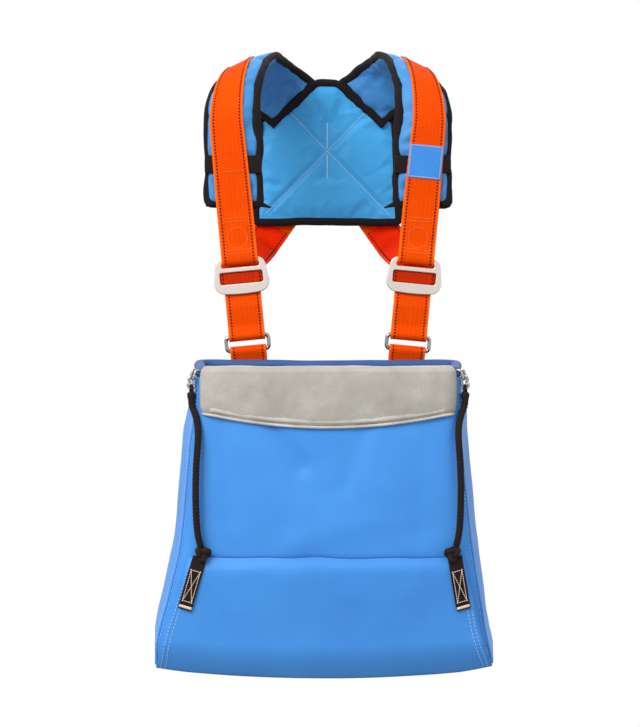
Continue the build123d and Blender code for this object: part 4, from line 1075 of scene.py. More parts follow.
def lay_strap(kind, side, line, body, seed, material=WEBBING, uneven=0.0004):
    """Webbing strap along its stations, a little uneven, with rounded edges."""
    points, across, outward = line
    spread = np.linspace(-0.5, 0.5, 9) * STRAP_WIDTH
    rows = points[:, None] + across[:, None] * spread[None, :, None]
    rows = rows + outward[:, None] * (ripple(rows, 0.05, seed) * uneven)[..., None]
    piece = laid_grid(f"{side}_{kind}", rows)
    thicken(piece, STRAP_THICK * 0.92, use_even_offset=True)
    round_edges(piece, 0.0006)
    dress(piece, material, body, "orange_webbing", f"{kind}_{side}")


def edge_runs(line, first, last, faces=(1,)):
    """Runs of stitching along both edges of a strap, between two shares of its length."""
    points, across, outward = line
    low, high = int(first * (len(points) - 1)), int(last * (len(points) - 1)) + 1
    runs = []
    for face in faces:
        for edge in (-1, 1):
            inset = across * edge * (STRAP_WIDTH / 2 - STITCH_INSET)
            row = points + inset + outward * face * STITCH_LIFT
            runs.append((row[low:high], outward[low:high] * face))
    return runs


def harness_straps():
    """Straps over the shoulders, across the back, under the arms and down to the bag, with their thread."""
    for layer, shoulder, hip in ((0, "right", "left"), (1, "left", "right")):
        points, across, outward = on_side(shoulder_strap_line(layer), shoulder)
        curl = np.interp(points[:, 2], CURL_HEIGHTS, CURL_SHARES)
        curl = 1 - (1 - curl) * ramp(points[:, 1], 0.06, -0.02)
        over = points, across * curl[:, None], outward
        lay_strap("shoulder_strap", shoulder, over, "harness", 1 + layer)
        behind = on_side(back_strap_line(layer), shoulder)
        lay_strap("back_strap", shoulder, behind, "harness", 3 + layer)
        under = on_side(side_strap_line(layer), hip)
        # The side straps take the redder, darker copy of the webbing: painted shade under the arms
        lay_strap("side_strap", hip, under, "harness", 5 + layer, SHADED_RED_WEBBING)
        runs = edge_runs(over, 0.125, 1.0) + edge_runs(behind, 0.0, 1.0)
        runs += edge_runs(under, 0.0, 0.97, faces=(1, -1))
        sew(f"strap_stitches_{shoulder}", runs, STRAP_STITCH, RED_THREAD, "harness", "orange_webbing")
    for side in SIDES:
        lower = on_side(lower_strap_line(), side)
        lay_strap("lower_strap", side, lower, "harness", 8, uneven=0.0001)
        runs = edge_runs(lower, 0.27, 0.725, faces=(-1,))
        sew(f"lower_strap_stitches_{side}", runs, STRAP_STITCH, RED_THREAD, "harness", "orange_webbing")
        tab = on_side(bag_tab_line(), side)
        lay_strap("bag_tab", side, tab, "bag", 9, uneven=0.0001)
        runs = edge_runs(tab, 0.0, 0.475)
        sew(f"bag_tab_stitches_{side}", runs, STRAP_STITCH, RED_THREAD, "bag", "orange_webbing")


def strap_point(up, sideways=0.0, forward=0.0):
    """Point on the front strap line, up along the strap from the buckle's middle."""
    return BUCKLE_CENTRE + UP * up + ACROSS * sideways + FRONT * forward


def strap_front(up):
    """How far forward the strap's face lies above the buckle, where it leaves the fold round the bar."""
    bulge = np.interp(up, (FOLD_SPREAD, FOLD_JOINED), (BAR_CLEAR, 0.0))
    return bulge + STRAP_THICK / 2 + 0.0003


def sewn_ends():
    """Tone-on-tone stitching above each buckle: cross lines, with a ring between the lower two pairs."""
    half, ring_up, ring_radius = 0.0165, 0.0475, 0.0128
    lines = [[strap_point(up, x, strap_front(up)) for x in (-half, half)]
             for up in (0.028, 0.0325, 0.069, 0.073, 0.1325)]
    turns = np.linspace(0, 2 * pi, 40)
    heights = ring_up + ring_radius * np.sin(turns)
    lines.append([strap_point(up, ring_radius * cos(turn), strap_front(up))
                  for up, turn in zip(heights, turns)])
    for side in SIDES:
        runs = [(np.array(line) * FLIP[side], facing_front(line)) for line in lines]
        sew(f"sewn_end_{side}", runs, SEWN_END_STITCH, ORANGE_THREAD, "harness", "orange_webbing")


def strap_label():
    """Bare satin patch with a pale border, sewn on the right strap."""
    rise = (LABEL_Z - BUCKLE_CENTRE[2]) / UP[2]
    lift = STRAP_THICK / 2 + 0.0006
    half = LABEL_SIZE / 2
    steps = np.linspace(-half, half, 9)
    piece = laid_grid("label_patch", [[strap_point(rise + up, x, lift) for x in steps] for up in steps])
    thicken(piece, 0.0008)
    round_edges(piece, 0.0003)
    dress(piece, LABEL_CLOTH, "harness", "label_cloth", "strap_label")
    inner = half - 0.0016
    corners = [(-inner, -inner), (inner, -inner), (inner, inner), (-inner, inner)]
    line = []
    for start, end in zip(corners, corners[1:] + corners[:1]):
        places = np.linspace(start, end, 8, endpoint=False)
        line += [strap_point(rise + up, x, lift + 0.0004) for x, up in places]
    border = tube("label_patch_border", line, facing_front(line), 0.0011, 0.0004, sides=8, loop=True)
    dress(border, LABEL_EDGE, "harness", "label_cloth")


def upright_runs(side, sideways, ups, forward):
    """Two upright runs of stitching on a strap patch, either side of its middle."""
    lines = [np.array([strap_point(up, x, forward) for up in ups]) for x in (-sideways, sideways)]
    return [(line * FLIP[side], facing_front(line)) for line in lines]


def buckle_guards():
    """Webbing patch behind each buckle, stitched near both ends."""
    half, tall, depth = 0.0305, 0.017, -0.0154
    rows = []
    for up in np.linspace(-tall, tall, 9):
        narrowed = half * (1 - 0.10 * (abs(up) / tall) ** 6)
        rows.append([strap_point(up, x, depth) for x in np.linspace(-narrowed, narrowed, 13)])
    for side in SIDES:
        piece = laid_grid(f"{side}_buckle_guard", mirrored_sheet(np.array(rows), side))
        thicken(piece, 0.0018)
        round_edges(piece, 0.0006)
        # Redder, darker copy of the webbing: painted shade behind the buckle
        dress(piece, SHADED_RED_WEBBING, "harness", "orange_webbing", f"buckle_guard_{side}")
        runs = upright_runs(side, 0.0253, (-0.014, 0.010), depth + STITCH_LIFT)
        sew(f"buckle_guard_stitches_{side}", runs, STRAP_STITCH, RED_THREAD, "harness", "orange_webbing")


def shaded_slot_straps():
    """Sheet of dark red webbing in each buckle's slot, over the fold round the pin: painted shade of the
    recess.
    """
    half, depth, bow = 0.0268, -0.0012, 0.0004
    xs = np.linspace(-half, half, 13)
    ups = np.linspace(-0.0110, 0.0030, 7)
    rows = np.array([[strap_point(up, x, depth - bow * (x / half) ** 2) for x in xs] for up in ups])
    for side in SIDES:
        piece = laid_grid(f"{side}_slot_strap", mirrored_sheet(rows, side))
        thicken(piece, 0.0012)
        dress(piece, SHADED_SLOT_WEBBING, "harness", "orange_webbing")
        runs = upright_runs(side, 0.0236, (ups[1], ups[-2]), depth + 0.0004)
        sew(f"slot_strap_stitches_{side}", runs, STRAP_STITCH, RED_THREAD, "harness", "orange_webbing")


# Bag

def bag_widths(drop):
    """Width at the back and at the front, eased between the measured levels."""
    near = np.clip(drop + np.linspace(-0.03, 0.03, 7), 0.0, BAG_HEIGHT)
    return [np.interp(near, BAG_DROPS, widths).mean() for widths in (BACK_WIDTHS, FRONT_WIDTHS)]


def half_outline(back_width, front_width, inset=0.0):
    """Right half of the bag's outline in plan, from the front's middle to the back's."""
    front_y = BAG_FRONT_Y + inset
    back_y = BAG_BACK_Y - inset
    front = np.array((front_width / 2 - inset, front_y))
    back = np.array((back_width / 2 - inset, back_y))
    side = unit(back - front)
    facing = np.arctan2(-side[0], side[1])
    to_middle = np.array((-1.0, 0.0))
    outline = [(0.0, front_y)]
    for corner, one, two, radius, first, last in (
            (front, to_middle, side, FRONT_CORNER - inset, -pi / 2, facing),
            (back, -side, to_middle, BACK_CORNER - inset, facing, pi / 2)):
        inward = unit(one + two)
        opening = np.arccos(np.clip(inward.dot(two), -1, 1))
        centre = corner + inward * radius / sin(opening)
        turns = np.linspace(first, last, 13)
        outline += [centre + radius * np.array((cos(turn), sin(turn))) for turn in turns]
    return np.array(outline + [(0.0, back_y)])


def cut_row(drop, panel, count):
    """One row of a panel at a drop below the rim: right half of front or back, or the right gusset."""
    outline = half_outline(*bag_widths(drop))
    lengths = run_lengths(outline)
    front_seam = np.interp(BAG_FRONT_Y + SEAM_INSET, outline[:, 1], lengths)
    back_seam = np.interp(BAG_BACK_Y - SEAM_INSET, outline[:, 1], lengths)
    first, last = {"front": (0.0, front_seam), "gusset": (front_seam, back_seam),
                   "back": (back_seam, lengths[-1])}[panel]
    plan = read_at(outline, lengths, np.linspace(first, last, count))
    return np.column_stack([plan, np.full(count, RIM_Z - drop)])


def cut_rows(panel, count):
    """All rows of a panel, from the base up to the hem."""
    return np.array([cut_row(drop, panel, count) for drop in np.linspace(BAG_HEIGHT, HEM_OVERLAP, 73)])


def settled(rows):
    """Points of the bag's cloth as it hangs: askew, its base corners lifted, its front foot tucked back."""
    rows = np.array(rows, float)
    x, y, z = (rows[..., axis].copy() for axis in range(3))
    foot = FLOOR_Z - base_sag(x)
    tuck = FLAP_TUCK * ramp(z, foot + FLAP_CURL, foot) ** 2 * ramp(y, BAG_FRONT_Y + 0.05, BAG_FRONT_Y)
    lift = np.where(x > 0, CORNER_LIFT["right"], CORNER_LIFT["left"]) * ramp(np.abs(x), 0.165, 0.205) ** 1.3
    rows[..., 0] -= np.interp(RIM_Z - z, SWAY_DROPS, SWAY)
    rows[..., 1] += tuck
    rows[..., 2] += lift * ramp(z, FLOOR_Z + 0.05, FLOOR_Z)
    return rows


def front_swell(x, z):
    """How far the front stands out of its flat plane: a soft belly, creases and a slow ripple."""
    drop = RIM_Z - z
    belly = dome(x, np.interp(drop, BAG_DROPS, FRONT_WIDTHS) / 2)
    hang = np.sin(pi * ramp(drop, 0.05, BAG_HEIGHT)) ** 0.8
    swell = FRONT_BELLY * belly ** 0.7 * hang
    for start, end, height, width in FRONT_CREASES:
        swell = swell + height * bell(line_distance(x, z, start, end), width) * np.sqrt(belly)
    place = np.stack([x, np.zeros_like(x), z], axis=-1)
    slow = 0.0022 * ripple(place, 0.07, 11) + 0.0008 * ripple(place, 0.03, 12)
    return swell + slow * np.sqrt(belly) * hang


def bag_front():
    """Front panel, standing out in its belly and creases."""
    right = cut_rows("front", 32)
    rows = np.concatenate([right[:, :0:-1] * FLIP["left"], right], axis=1)
    rows[..., 1] -= front_swell(rows[..., 0], rows[..., 2])
    return rows


def bag_back():
    """Back panel, drawn in a little where it hangs free."""
    right = cut_rows("back", 30)
    rows = np.concatenate([right, right[:, -2::-1] * FLIP["left"]], axis=1)
    hang = np.sin(pi * ramp(RIM_Z - rows[..., 2], 0.0, BAG_HEIGHT))
    rows[..., 1] -= (0.004 + 0.002 * ripple(rows, 0.08, 14)) * hang * dome(rows[..., 0], 0.19)
    return rows


def bag_gusset():
    """Right gusset, drawn in a little along its middle, its foot following the floor's droop."""
    rows = cut_rows("gusset", 34)
    share = np.linspace(0, 1, rows.shape[1])[None]
    drop = RIM_Z - rows[..., 2]
    hang = np.sin(pi * ramp(drop, 0.02, BAG_HEIGHT)) * np.sin(pi * share)
    fold = np.cos(2 * pi * share) - 1
    rows[..., 0] += (0.0035 * fold + 0.0030 * ripple(rows, 0.06, 17)) * hang
    depth = ramp(rows[..., 1], BAG_BACK_Y, BAG_FRONT_Y)
    rows[..., 2] -= (0.0012 + BASE_DROOP * depth) * ramp(drop, 0.30, BAG_HEIGHT) ** 2
    return rows


def lined_cloth(name, rows):
    """A cut of bag cloth, its thickness inside the shape and its inner face of lining, duller as the uncoated
    side and painted darker still for the shade inside the bag.
    """
    piece = laid_grid(name, settled(rows))
    thicken(piece, CLOTH, offset=-1.0)
    piece.data.materials.append(BAG_CLOTH)
    piece.data.materials.append(SHADED_LINING_CLOTH)
    inner = np.zeros(len(piece.data.polygons), int)
    laid = (rows.shape[0] - 1) * (rows.shape[1] - 1)
    inner[laid:2 * laid] = 1
    piece.data.polygons.foreach_set("material_index", inner)
    return piece


def bag_panels():
    """The bag's four upright cuts of cloth, with the share of its box that each one fills."""
    gusset = bag_gusset()
    for name, rows, node, wide, area in (
            ("front_panel", bag_front(), "bag_front_panel", 0.42, 0.86),
            ("back_wall", bag_back(), "bag_back_panel", 0.43, 0.92),
            ("right_gusset", gusset, "bag_gusset_right", 0.17, 1.0),
            ("left_gusset", mirrored_sheet(gusset, "left"), "bag_gusset_left", 0.17, 1.0)):
        piece = lined_cloth(name, rows)
        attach(piece, "bag")
        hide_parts(node)


def bag_seams():
    """Corner seams: a narrow welt with a row of light thread on each side of it; the thread's paleness also
    paints the highlight along the seam.
    """
    gusset, front, back = (rows[:-4] for rows in (bag_gusset(), bag_front(), bag_back()))
    for side in SIDES:
        flip = FLIP[side]
        first, last = (1, -2) if side == "right" else (-2, 1)
        for name, seam, beside, panel, out in (
                ("front", 0, 1, front[:, last], (0.92, -0.40, 0.0)),
                ("back", -1, -2, back[:, first], (0.92, 0.40, 0.0))):
            line = settled(gusset[:, seam] * flip)
            normals = np.tile(np.array(out) * flip, (len(line), 1))
            welt = tube(f"bag_seam_{name}_{side}", line + normals * 0.0002, normals, 0.0030, 0.0011, sides=10)
            dress(welt, BAG_CLOTH, "bag", "bag_cloth")
            rows = settled([gusset[:, beside] * flip, panel])
            runs = [(row + normals * 0.0005, normals) for row in rows]
            sew(f"bag_seam_stitches_{name}_{side}", runs, SEAM_STITCH, BLUE_THREAD, "bag", "bag_cloth")


# Rim

def rim_loop(inset, drop=0.0):
    """Closed line round the bag at a drop below the rim, from the front's middle round to it again."""
    widths = bag_widths(drop) if drop else (BACK_WIDTHS[0], FRONT_WIDTHS[0])
    right = half_outline(*widths, inset)
    loop = np.vstack([right, (right * (-1.0, 1.0))[::-1][1:]])
    lengths = run_lengths(loop)
    plan = read_at(loop, lengths, np.linspace(0, lengths[-1], 220, endpoint=False))
    return np.column_stack([plan, np.full(len(plan), RIM_Z - drop)])


def rim_hem():
    """Rolled hem round the rim's rod, sagging a little along the back, and the thread below it."""
    loop = rim_loop(HEM_RADIUS)
    back = ramp(loop[:, 1], BAG_BACK_Y - 0.04, BAG_BACK_Y - 0.01)
    sag = 0.0010 * back * (1 - (loop[:, 0] / (BACK_WIDTHS[0] / 2)) ** 2)
    loop[:, 2] += ripple(loop, 0.05, 21) * 0.0009 - sag
    normals = np.tile((0.0, 0.0, 1.0), (len(loop), 1))
    piece = tube("rolled_rim_hem", loop, normals, HEM_RADIUS, HEM_RADIUS, sides=18, loop=True)
    # The hem tape is painted darker for the shade along the rim
    dress(piece, SHADED_HEM_CLOTH, "bag", "bag_cloth", "rim_hem", "rim_frame")
    wall = rim_loop(-0.0006, HEM_SEAM_DROP)
    wall = wall[wall[:, 1] > BAG_FRONT_Y + 0.02]
    centre = np.array((0.0, (BAG_FRONT_Y + BAG_BACK_Y) / 2, 0.0))
    outward = unit((wall - centre) * (1.0, 1.0, 0.0))
    sew("rim_hem_stitches", [(wall, outward)], SEAM_STITCH, BLUE_THREAD, "bag", "bag_cloth")


def rim_front_line():
    """Line along the front of the rim's rod and a little way round both corners, and its outward side."""
    right = half_outline(BACK_WIDTHS[0], FRONT_WIDTHS[0], HEM_RADIUS)
    lengths = run_lengths(right)
    turned = (FRONT_CORNER - HEM_RADIUS) * (1 - cos(radians(COVER_WRAP)))
    reach = np.interp(BAG_FRONT_Y + HEM_RADIUS + turned, right[:, 1], lengths)
    half = read_at(right, lengths, np.linspace(0, reach, 49))
    plan = np.vstack([half[:0:-1] * (-1.0, 1.0), half])
    along = unit(np.gradient(plan, axis=0))
    return plan, np.stack([along[:, 1], -along[:, 0]], axis=1)


def rim_pad_edge(x):
    """Height of the grey cover's lower edge: an arc, lowest in the middle."""
    return RIM_Z - COVER_DROP + COVER_ARC * ramp(np.abs(x), 0.0, 0.1635) ** 2


def rim_pad():
    """Padded cover folded over the front of the rim: long and plump outside, thin on top, short inside."""
    plan, outward = rim_front_line()
    inner = HEM_RADIUS + 0.0004
    thick, thin = 0.0050, 0.0010
    hem, tuck = -0.012, -0.022
    start, end = 0.25, pi - 0.25
    fill = np.sqrt(np.sin(pi * (np.linspace(0, 1, 13) * 0.92 + 0.08)).clip(0, 1))
    rings = []
    for index, (point, out) in enumerate(zip(plan, outward)):
        drops = np.linspace(0, rim_pad_edge(point[0]) - RIM_Z, 13)
        plump = thick * min(1.0, 0.55 + min(index, len(plan) - 1 - index) / 3)
        section = [(-inner - 0.4 * thin, tuck), (-inner - thin * 0.9, hem), (-inner - thin, 0.0)]
        for turn in np.linspace(start, end, 11):
            reach = inner + thin + (plump - thin) * np.clip(-cos(turn), 0, 1) ** 2
            section.append((-reach * cos(turn), (inner + thin) * sin(turn)))
        section += [(inner + 0.0008 + plump * (0.35 + 0.75 * full), drop) for drop, full in zip(drops, fill)]
        section += [(inner + 0.0003, drop) for drop in drops[::-1]]
        section += [(-inner * cos(turn), inner * sin(turn)) for turn in np.linspace(end, start, 9)]
        section += [(-inner, 0.0), (-inner, hem), (-inner - 0.4 * thin, tuck)]
        rings.append([(point[0] + out[0] * a, point[1] + out[1] * a, RIM_Z + b) for a, b in section])
    rings = np.array(rings)
    drop = RIM_Z - rings[..., 2]
    face = rings[..., 1] < BAG_FRONT_Y + 0.004
    uneven = 0.0010 * ripple(rings, 0.035, 31) + 0.0006 * ripple(rings, 0.015, 32)
    rings[..., 1] -= face * uneven * np.clip(drop / 0.02, 0.4, 1)
    rings[..., 2] += (drop < 0.004) * ripple(rings, 0.04, 33) * 0.0012
    rings[..., 1] -= face * np.clip(front_swell(rings[..., 0], rings[..., 2]), 0, COVER_FOLLOW)
    ends = [rings[place].mean(axis=0) * np.ones_like(rings[place]) for place in (0, -1)]
    piece = laid_grid("grey_rim_cover", np.vstack([ends[:1], rings, ends[1:]])[::-1], closed=True)
    finish_with(piece, "SUBSURF", levels=1, render_levels=1)
    dress(piece, COVER, "bag", "grey_cover", "rim_pad")


def rim_piping():
    """Sewn cord under the cover's lower edge, the folded hem above it and a pale ridge along the top fold,
    whose paler colour is a painted highlight.
    """
    plan, outward = rim_front_line()
    facing = np.column_stack([outward, np.zeros(len(plan))])
    for name, lift, wide, thick, forward, trim, nodes in (
            ("cover_piping", -0.0012, 0.0018, 0.0018, 0.0098, 1, ["rim_piping"]),
            ("cover_hem", 0.0058, 0.0026, 0.0006, 0.0114, 3, [])):
        line = np.column_stack([plan, rim_pad_edge(plan[:, 0]) + lift]) + facing * forward
        flat = np.clip(-facing[:, 1], 0, 1) ** 4
        line[:, 1] -= flat * np.clip(front_swell(line[:, 0], line[:, 2]), 0, COVER_FOLLOW)
        piece = tube(name, line[trim:-trim], facing[trim:-trim], wide, thick, sides=10)
        dress(piece, PIPING, "bag", "grey_cover", *nodes)
    # Pale tube along the top fold: painted highlight
    crest = HEM_RADIUS + 0.0012
    upward, forward = 0.86, 0.5
    line = np.column_stack([plan, np.full(len(plan), RIM_Z + crest * upward)]) + facing * crest * forward
    line[:, 2] += ripple(line, 0.04, 33) * 0.0012
    normals = facing * forward + np.array((0.0, 0.0, upward))
    fold = tube("cover_fold_highlight", line[2:-2], normals[2:-2], 0.0016, 0.0005, sides=10)
    dress(fold, PIPING, "bag", "grey_cover")


# Chute

def base_sag(x):
    """How far the folded bottom edge hangs below its hinge, lowest in the middle."""
    return BASE_DROOP + BASE_SAG * dome(x, FLAP_FOOT_HALF)


def roll_share(below_top):
    """Share of the flap's outward roll at a distance below its top edge: steep above, long below."""
    return (1 - bell(below_top, 0.010)) * bell(below_top, 0.060)


def flap_rows(step, height, top_half, foot_half, foot_z, bulge):
    """Rows of a layer over the bag's front, from its foot up, lying step outside the front.

    The bulge stands out below the top edge, which turns back to the bag."""
    share = np.linspace(0, 1, 49)[:, None]
    x = (foot_half + (top_half - foot_half) * share) * np.linspace(-1, 1, 73)
    z = foot_z + height * share - base_sag(x) * (1 - share) ** 2
    swell = front_swell(x, np.maximum(z, RIM_Z - BAG_HEIGHT)) * ramp(share, 0.0, 0.25)
    rolled = bulge * roll_share(height * (1 - share))
    return np.stack([x, BAG_FRONT_Y - step - swell - rolled, z], axis=2)


def hang_between_floor_and_flap(piece):
    """Bake the placement of a piece of the flap into its mesh."""
    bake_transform(piece)


def chute_flap():
    """Front flap: turned up over the bag's front, its foot rolled round into the floor."""
    rows = flap_rows(FLAP_STEP, FLAP_HEIGHT, FLAP_TOP_HALF, FLAP_FOOT_HALF, FLOOR_Z, FLAP_LEAN)
    share = np.linspace(0, 1, len(rows))[:, None]
    rows[..., 1] -= ripple(rows, 0.05, 41) * 0.0012
    rows[..., 2] += ramp(share, 0.86, 0.96) * ripple(rows, 0.045, 42) * 0.0020
    rows = settled(rows)
    roll_depth, roll_back, roll_drop = 0.007, 0.0014, 0.003
    roll = []
    for turn in np.linspace(pi / 2, 0.15, 6)[:-1]:
        ring = rows[0].copy()
        ring[:, 1] += roll_depth * sin(turn) + roll_back * (1 - cos(turn))
        ring[:, 2] -= roll_drop * (1 - cos(turn))
        roll.append(ring)
    piece = laid_grid("front_flap", np.vstack([roll, rows]))
    thicken(piece, CLOTH, offset=-1.0)
    dress(piece, BAG_CLOTH, None, "bag_cloth", "chute_flap")
    hang_between_floor_and_flap(piece)
    # A thin dark tube along the flap's top edge: a painted shadow line for the gap under the edge
    top = rows[-1, np.abs(rows[-1, :, 0]) < 0.150] + (0.0, 0.0006, 0.0002)
    edge = tube("flap_shadow_line", top, facing_front(top), 0.0010, 0.0010, sides=8)
    dress(edge, FLAP_SHADOW_LINE_CLOTH, "chute_flap", "bag_cloth")
    sides = [rows[:-6, column] + FRONT * 0.0003 for column in (1, 2, -3, -2)]
    seams = [(line, facing_front(line)) for line in sides]
    stitches = sew("flap_side_stitches", seams, SEAM_STITCH, BLUE_THREAD, None, "bag_cloth")
    hang_between_floor_and_flap(stitches)


def chute_lining():
    """Inner layer behind the flap, hinged along the front panel's foot, without the flap's sag."""
    rows = flap_rows(LINING_STEP, FLAP_HEIGHT - 0.008, FLAP_TOP_HALF - 0.004, FLAP_FOOT_HALF - 0.004,
                     LINING_FOOT_Z, 0.0)
    rows[..., 2] += base_sag(rows[..., 0]) * (1 - np.linspace(0, 1, len(rows))[:, None]) ** 2
    piece = laid_grid("flap_lining", settled(rows))
    thicken(piece, 0.0010)
    # Darker lining cloth: painted shade
    dress(piece, SHADED_LINING_CLOTH, "chute_lining", "bag_cloth", "chute_lining")


def chute_floor():
    """Bottom cloth, hinged along the back, sagging towards the front fold."""
    outline = half_outline(*bag_widths(BAG_HEIGHT))
    depth = np.linspace(0, 1, 31)[:, None]
    back_y, front_y = BAG_BACK_Y - 0.0015, FLAP_Y + 0.0035
    y = back_y + (front_y - back_y) * depth
    half = np.interp(y, outline[1:-1, 1], outline[1:-1, 0])
    half = np.where(y < BAG_FRONT_Y + 0.02, FLAP_FOOT_HALF - 0.001, half)
    x = half * np.linspace(1, -1, 61)
    sag = base_sag(x) * depth + 0.004 * np.sin(pi * depth) * dome(x, 0.21)
    rows = np.stack([x, np.broadcast_to(y, x.shape), FLOOR_Z - sag], axis=2)
    rows[..., 2] += ripple(rows, 0.06, 51) * 0.0010
    piece = laid_grid("drop_floor", settled(rows))
    thicken(piece, CLOTH, offset=-1.0)
    dress(piece, BAG_CLOTH, "chute_floor", "bag_cloth", "chute_floor")


def chute_bellows():
    """Folded side cloth inside each gusset's foot."""
    foot_z, top_z = BELLOWS_Z
    count = 40
    ys = np.linspace(-0.274, -0.144, count)
    pleat = 0.0008 * np.sin(np.arange(count)[::-1] * 1.3)
    rows = []
    for z in np.linspace(foot_z, top_z, 12):
        outline = half_outline(*bag_widths(RIM_Z - z), inset=0.0036)
        x = np.interp(ys, outline[:, 1], outline[:, 0])
        rows.append(np.stack([x + pleat, ys, np.full(count, z)], axis=1))
    for side in SIDES:
        piece = laid_grid(f"{side}_chute_bellows", settled(mirrored_sheet(np.array(rows), side)))
        thicken(piece, 0.0009)
        # Darker lining cloth: painted shade
        dress(piece, SHADED_LINING_CLOTH, None, "bag_cloth", f"chute_bellows_{side}")
        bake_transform(piece)


# Tabs and cords

def hung_inward(points, side):
    """Points of a knot or tab; those on the right hang further in."""
    points = np.array(points, float)
    if side == "right":
        points[..., 0] -= np.interp(points[..., 2], INWARD_HEIGHTS, INWARD_SHIFTS)
    return points


def tab_face(side):
    """Rows of a tab's middle, drawn for the right, from its foot up and from its inner edge out."""
    ups = np.linspace(-TAB_LENGTH, 0.0, 18)
    spread = np.linspace(0.5, -0.5, 7) * TAB_WIDTH
    rows = np.array([[TAB_TOP + TAB_UP * up + TAB_INWARD * s for s in spread] for up in ups])
    below_top = np.maximum(FLOOR_Z + FLAP_HEIGHT - rows[..., 2], 0.0)
    swell = front_swell(rows[..., 0], rows[..., 2]) + FLAP_LEAN * roll_share(below_top)
    rows[..., 1] = BAG_FRONT_Y - FLAP_STEP - swell - TAB_STAND_OFF
    return hung_inward(rows, side)


def on_tab(face, across, up):
    """Point just off a tab's face, at a share of its width from its middle and a height from its top."""
    rows, columns = face.shape[:2]
    row, column = (up / TAB_LENGTH + 1) * (rows - 1), (0.5 - across) * (columns - 1)
    low, left = int(min(row, rows - 2)), int(min(column, columns - 2))
    a, b = row - low, column - left
    below = face[low, left] * (1 - b) + face[low, left + 1] * b
    above = face[low + 1, left] * (1 - b) + face[low + 1, left + 1] * b
    return below * (1 - a) + above * a + FRONT * STITCH_LIFT


def flap_tabs():
    """Black tape tab on each upper corner of the flap, with cream box stitching and a bar at its foot."""
    half, high, low = 0.33, -0.017, -0.056
    corners = ((-half, high), (half, high), (half, low), (-half, low))
    lines = list(zip(corners, corners[1:] + corners[:1]))
    lines += [(corners[0], corners[2]), (corners[1], corners[3])]
    for side in SIDES:
        face = tab_face(side)
        piece = laid_grid(f"{side}_flap_tab", mirrored_sheet(face, side))
        thicken(piece, 0.0018)
        round_edges(piece, 0.0005)
        dress(piece, TAPE, "chute_flap", "black_tape", f"flap_tab_{side}")
        runs = []
        for start, end in lines:
            line = np.array([on_tab(face, *place) for place in np.linspace(start, end, 14)])
            runs.append((line * FLIP[side], facing_front(line)))
        sew(f"tab_stitches_{side}", runs, TAB_STITCH, CREAM_THREAD, "chute_flap", "black_tape")
        bar = np.array([on_tab(face, place, -0.0630) for place in np.linspace(-0.46, 0.46, 12)]) * FLIP[side]
        piece = tube(f"tab_bar_{side}", bar, facing_front(bar), 0.0017, 0.0009, sides=8)
        dress(piece, CREAM_THREAD, "chute_flap", "black_tape")


def smooth_line(points):
    """Points read from a NURBS spline that the route's own points shape."""
    curve = bpy.data.curves.new("route", "CURVE")
    curve.dimensions = "3D"
    spline = curve.splines.new("NURBS")
    spline.points.add(len(points) - 1)
    for control, point in zip(spline.points, points):
        control.co = (*point, 1.0)
    spline.order_u = 3
    spline.use_endpoint_u = True
    spline.resolution_u = 12
    holder = bpy.data.objects.new("route", curve)
    bpy.context.scene.collection.objects.link(holder)
    bpy.context.view_layer.update()
    line = corners_of(bpy.data.meshes.new_from_object(holder))
    bpy.data.objects.remove(holder)
    return line


def plaited(name, points, radius, pitch=0.009):
    """Round cord along a line, its surface raised in crossing plaits."""
    line, _, _ = respaced((points, points, points), 0.0012)
    along = unit(np.gradient(line, axis=0))
    side = unit(np.cross(along, (0.0, 1.0, 0.001)))
    other = np.cross(along, side)
    turns = np.linspace(0, 2 * pi, 25)
    rings = []
    for index, length in enumerate(run_lengths(line)):
        phase = 2 * pi * length / pitch
        plait = np.abs(np.cos(2 * turns + phase)) * np.abs(np.cos(2 * turns - phase))
        reach = radius * (1 - PLAIT_DEPTH + 2 * PLAIT_DEPTH * np.sqrt(plait))
        spoke = side[index] * np.cos(turns)[:, None] + other[index] * np.sin(turns)[:, None]
        rings.append(line[index] + spoke * reach[:, None])
    caps = [np.broadcast_to(line[end], rings[0].shape) for end in (0, -1)]
    return laid_grid(name, np.stack([caps[0], *rings, caps[1]]), closed=True)


def knot_line(side):
    """Overhand knot: a trefoil, flattened towards the flap."""
    angle = np.linspace(0, 2 * pi, 60)[:, None]
    sideways = 0.0023 * (np.sin(angle) + 2 * np.sin(2 * angle))
    upward = 0.0025 * (np.cos(angle) - 2 * np.cos(2 * angle))
    forward = -0.0030 * np.sin(3 * angle)
    line = KNOT_CENTRE + sideways * TAB_INWARD + upward * TAB_UP + forward * FRONT
    return hung_inward(line, side) * FLIP[side]


def loop_line(side):
    """Small loop over the hook, inside the space of its solid, its two legs sunk in the sleeve."""
    lo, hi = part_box(f"cord_loop_{side}")
    middle = (np.array(lo) + np.array(hi)) / 2 * (1, 1, 0)
    lean, half = radians(66), 0.0034
    wide = np.array((-cos(lean), -sin(lean), 0.0)) * FLIP[side] * half
    low, high = lo[2] - 0.001, hi[2] - 0.0016 - half
    leg = [(1, low), (1, low + 0.003), (1, high), (0.7, high + half * 1.2)]
    bends = [(-s, z) for s, z in leg] + leg[::-1]
    return smooth_line(np.array([middle + wide * s + np.array((0, 0, z)) for s, z in bends]))


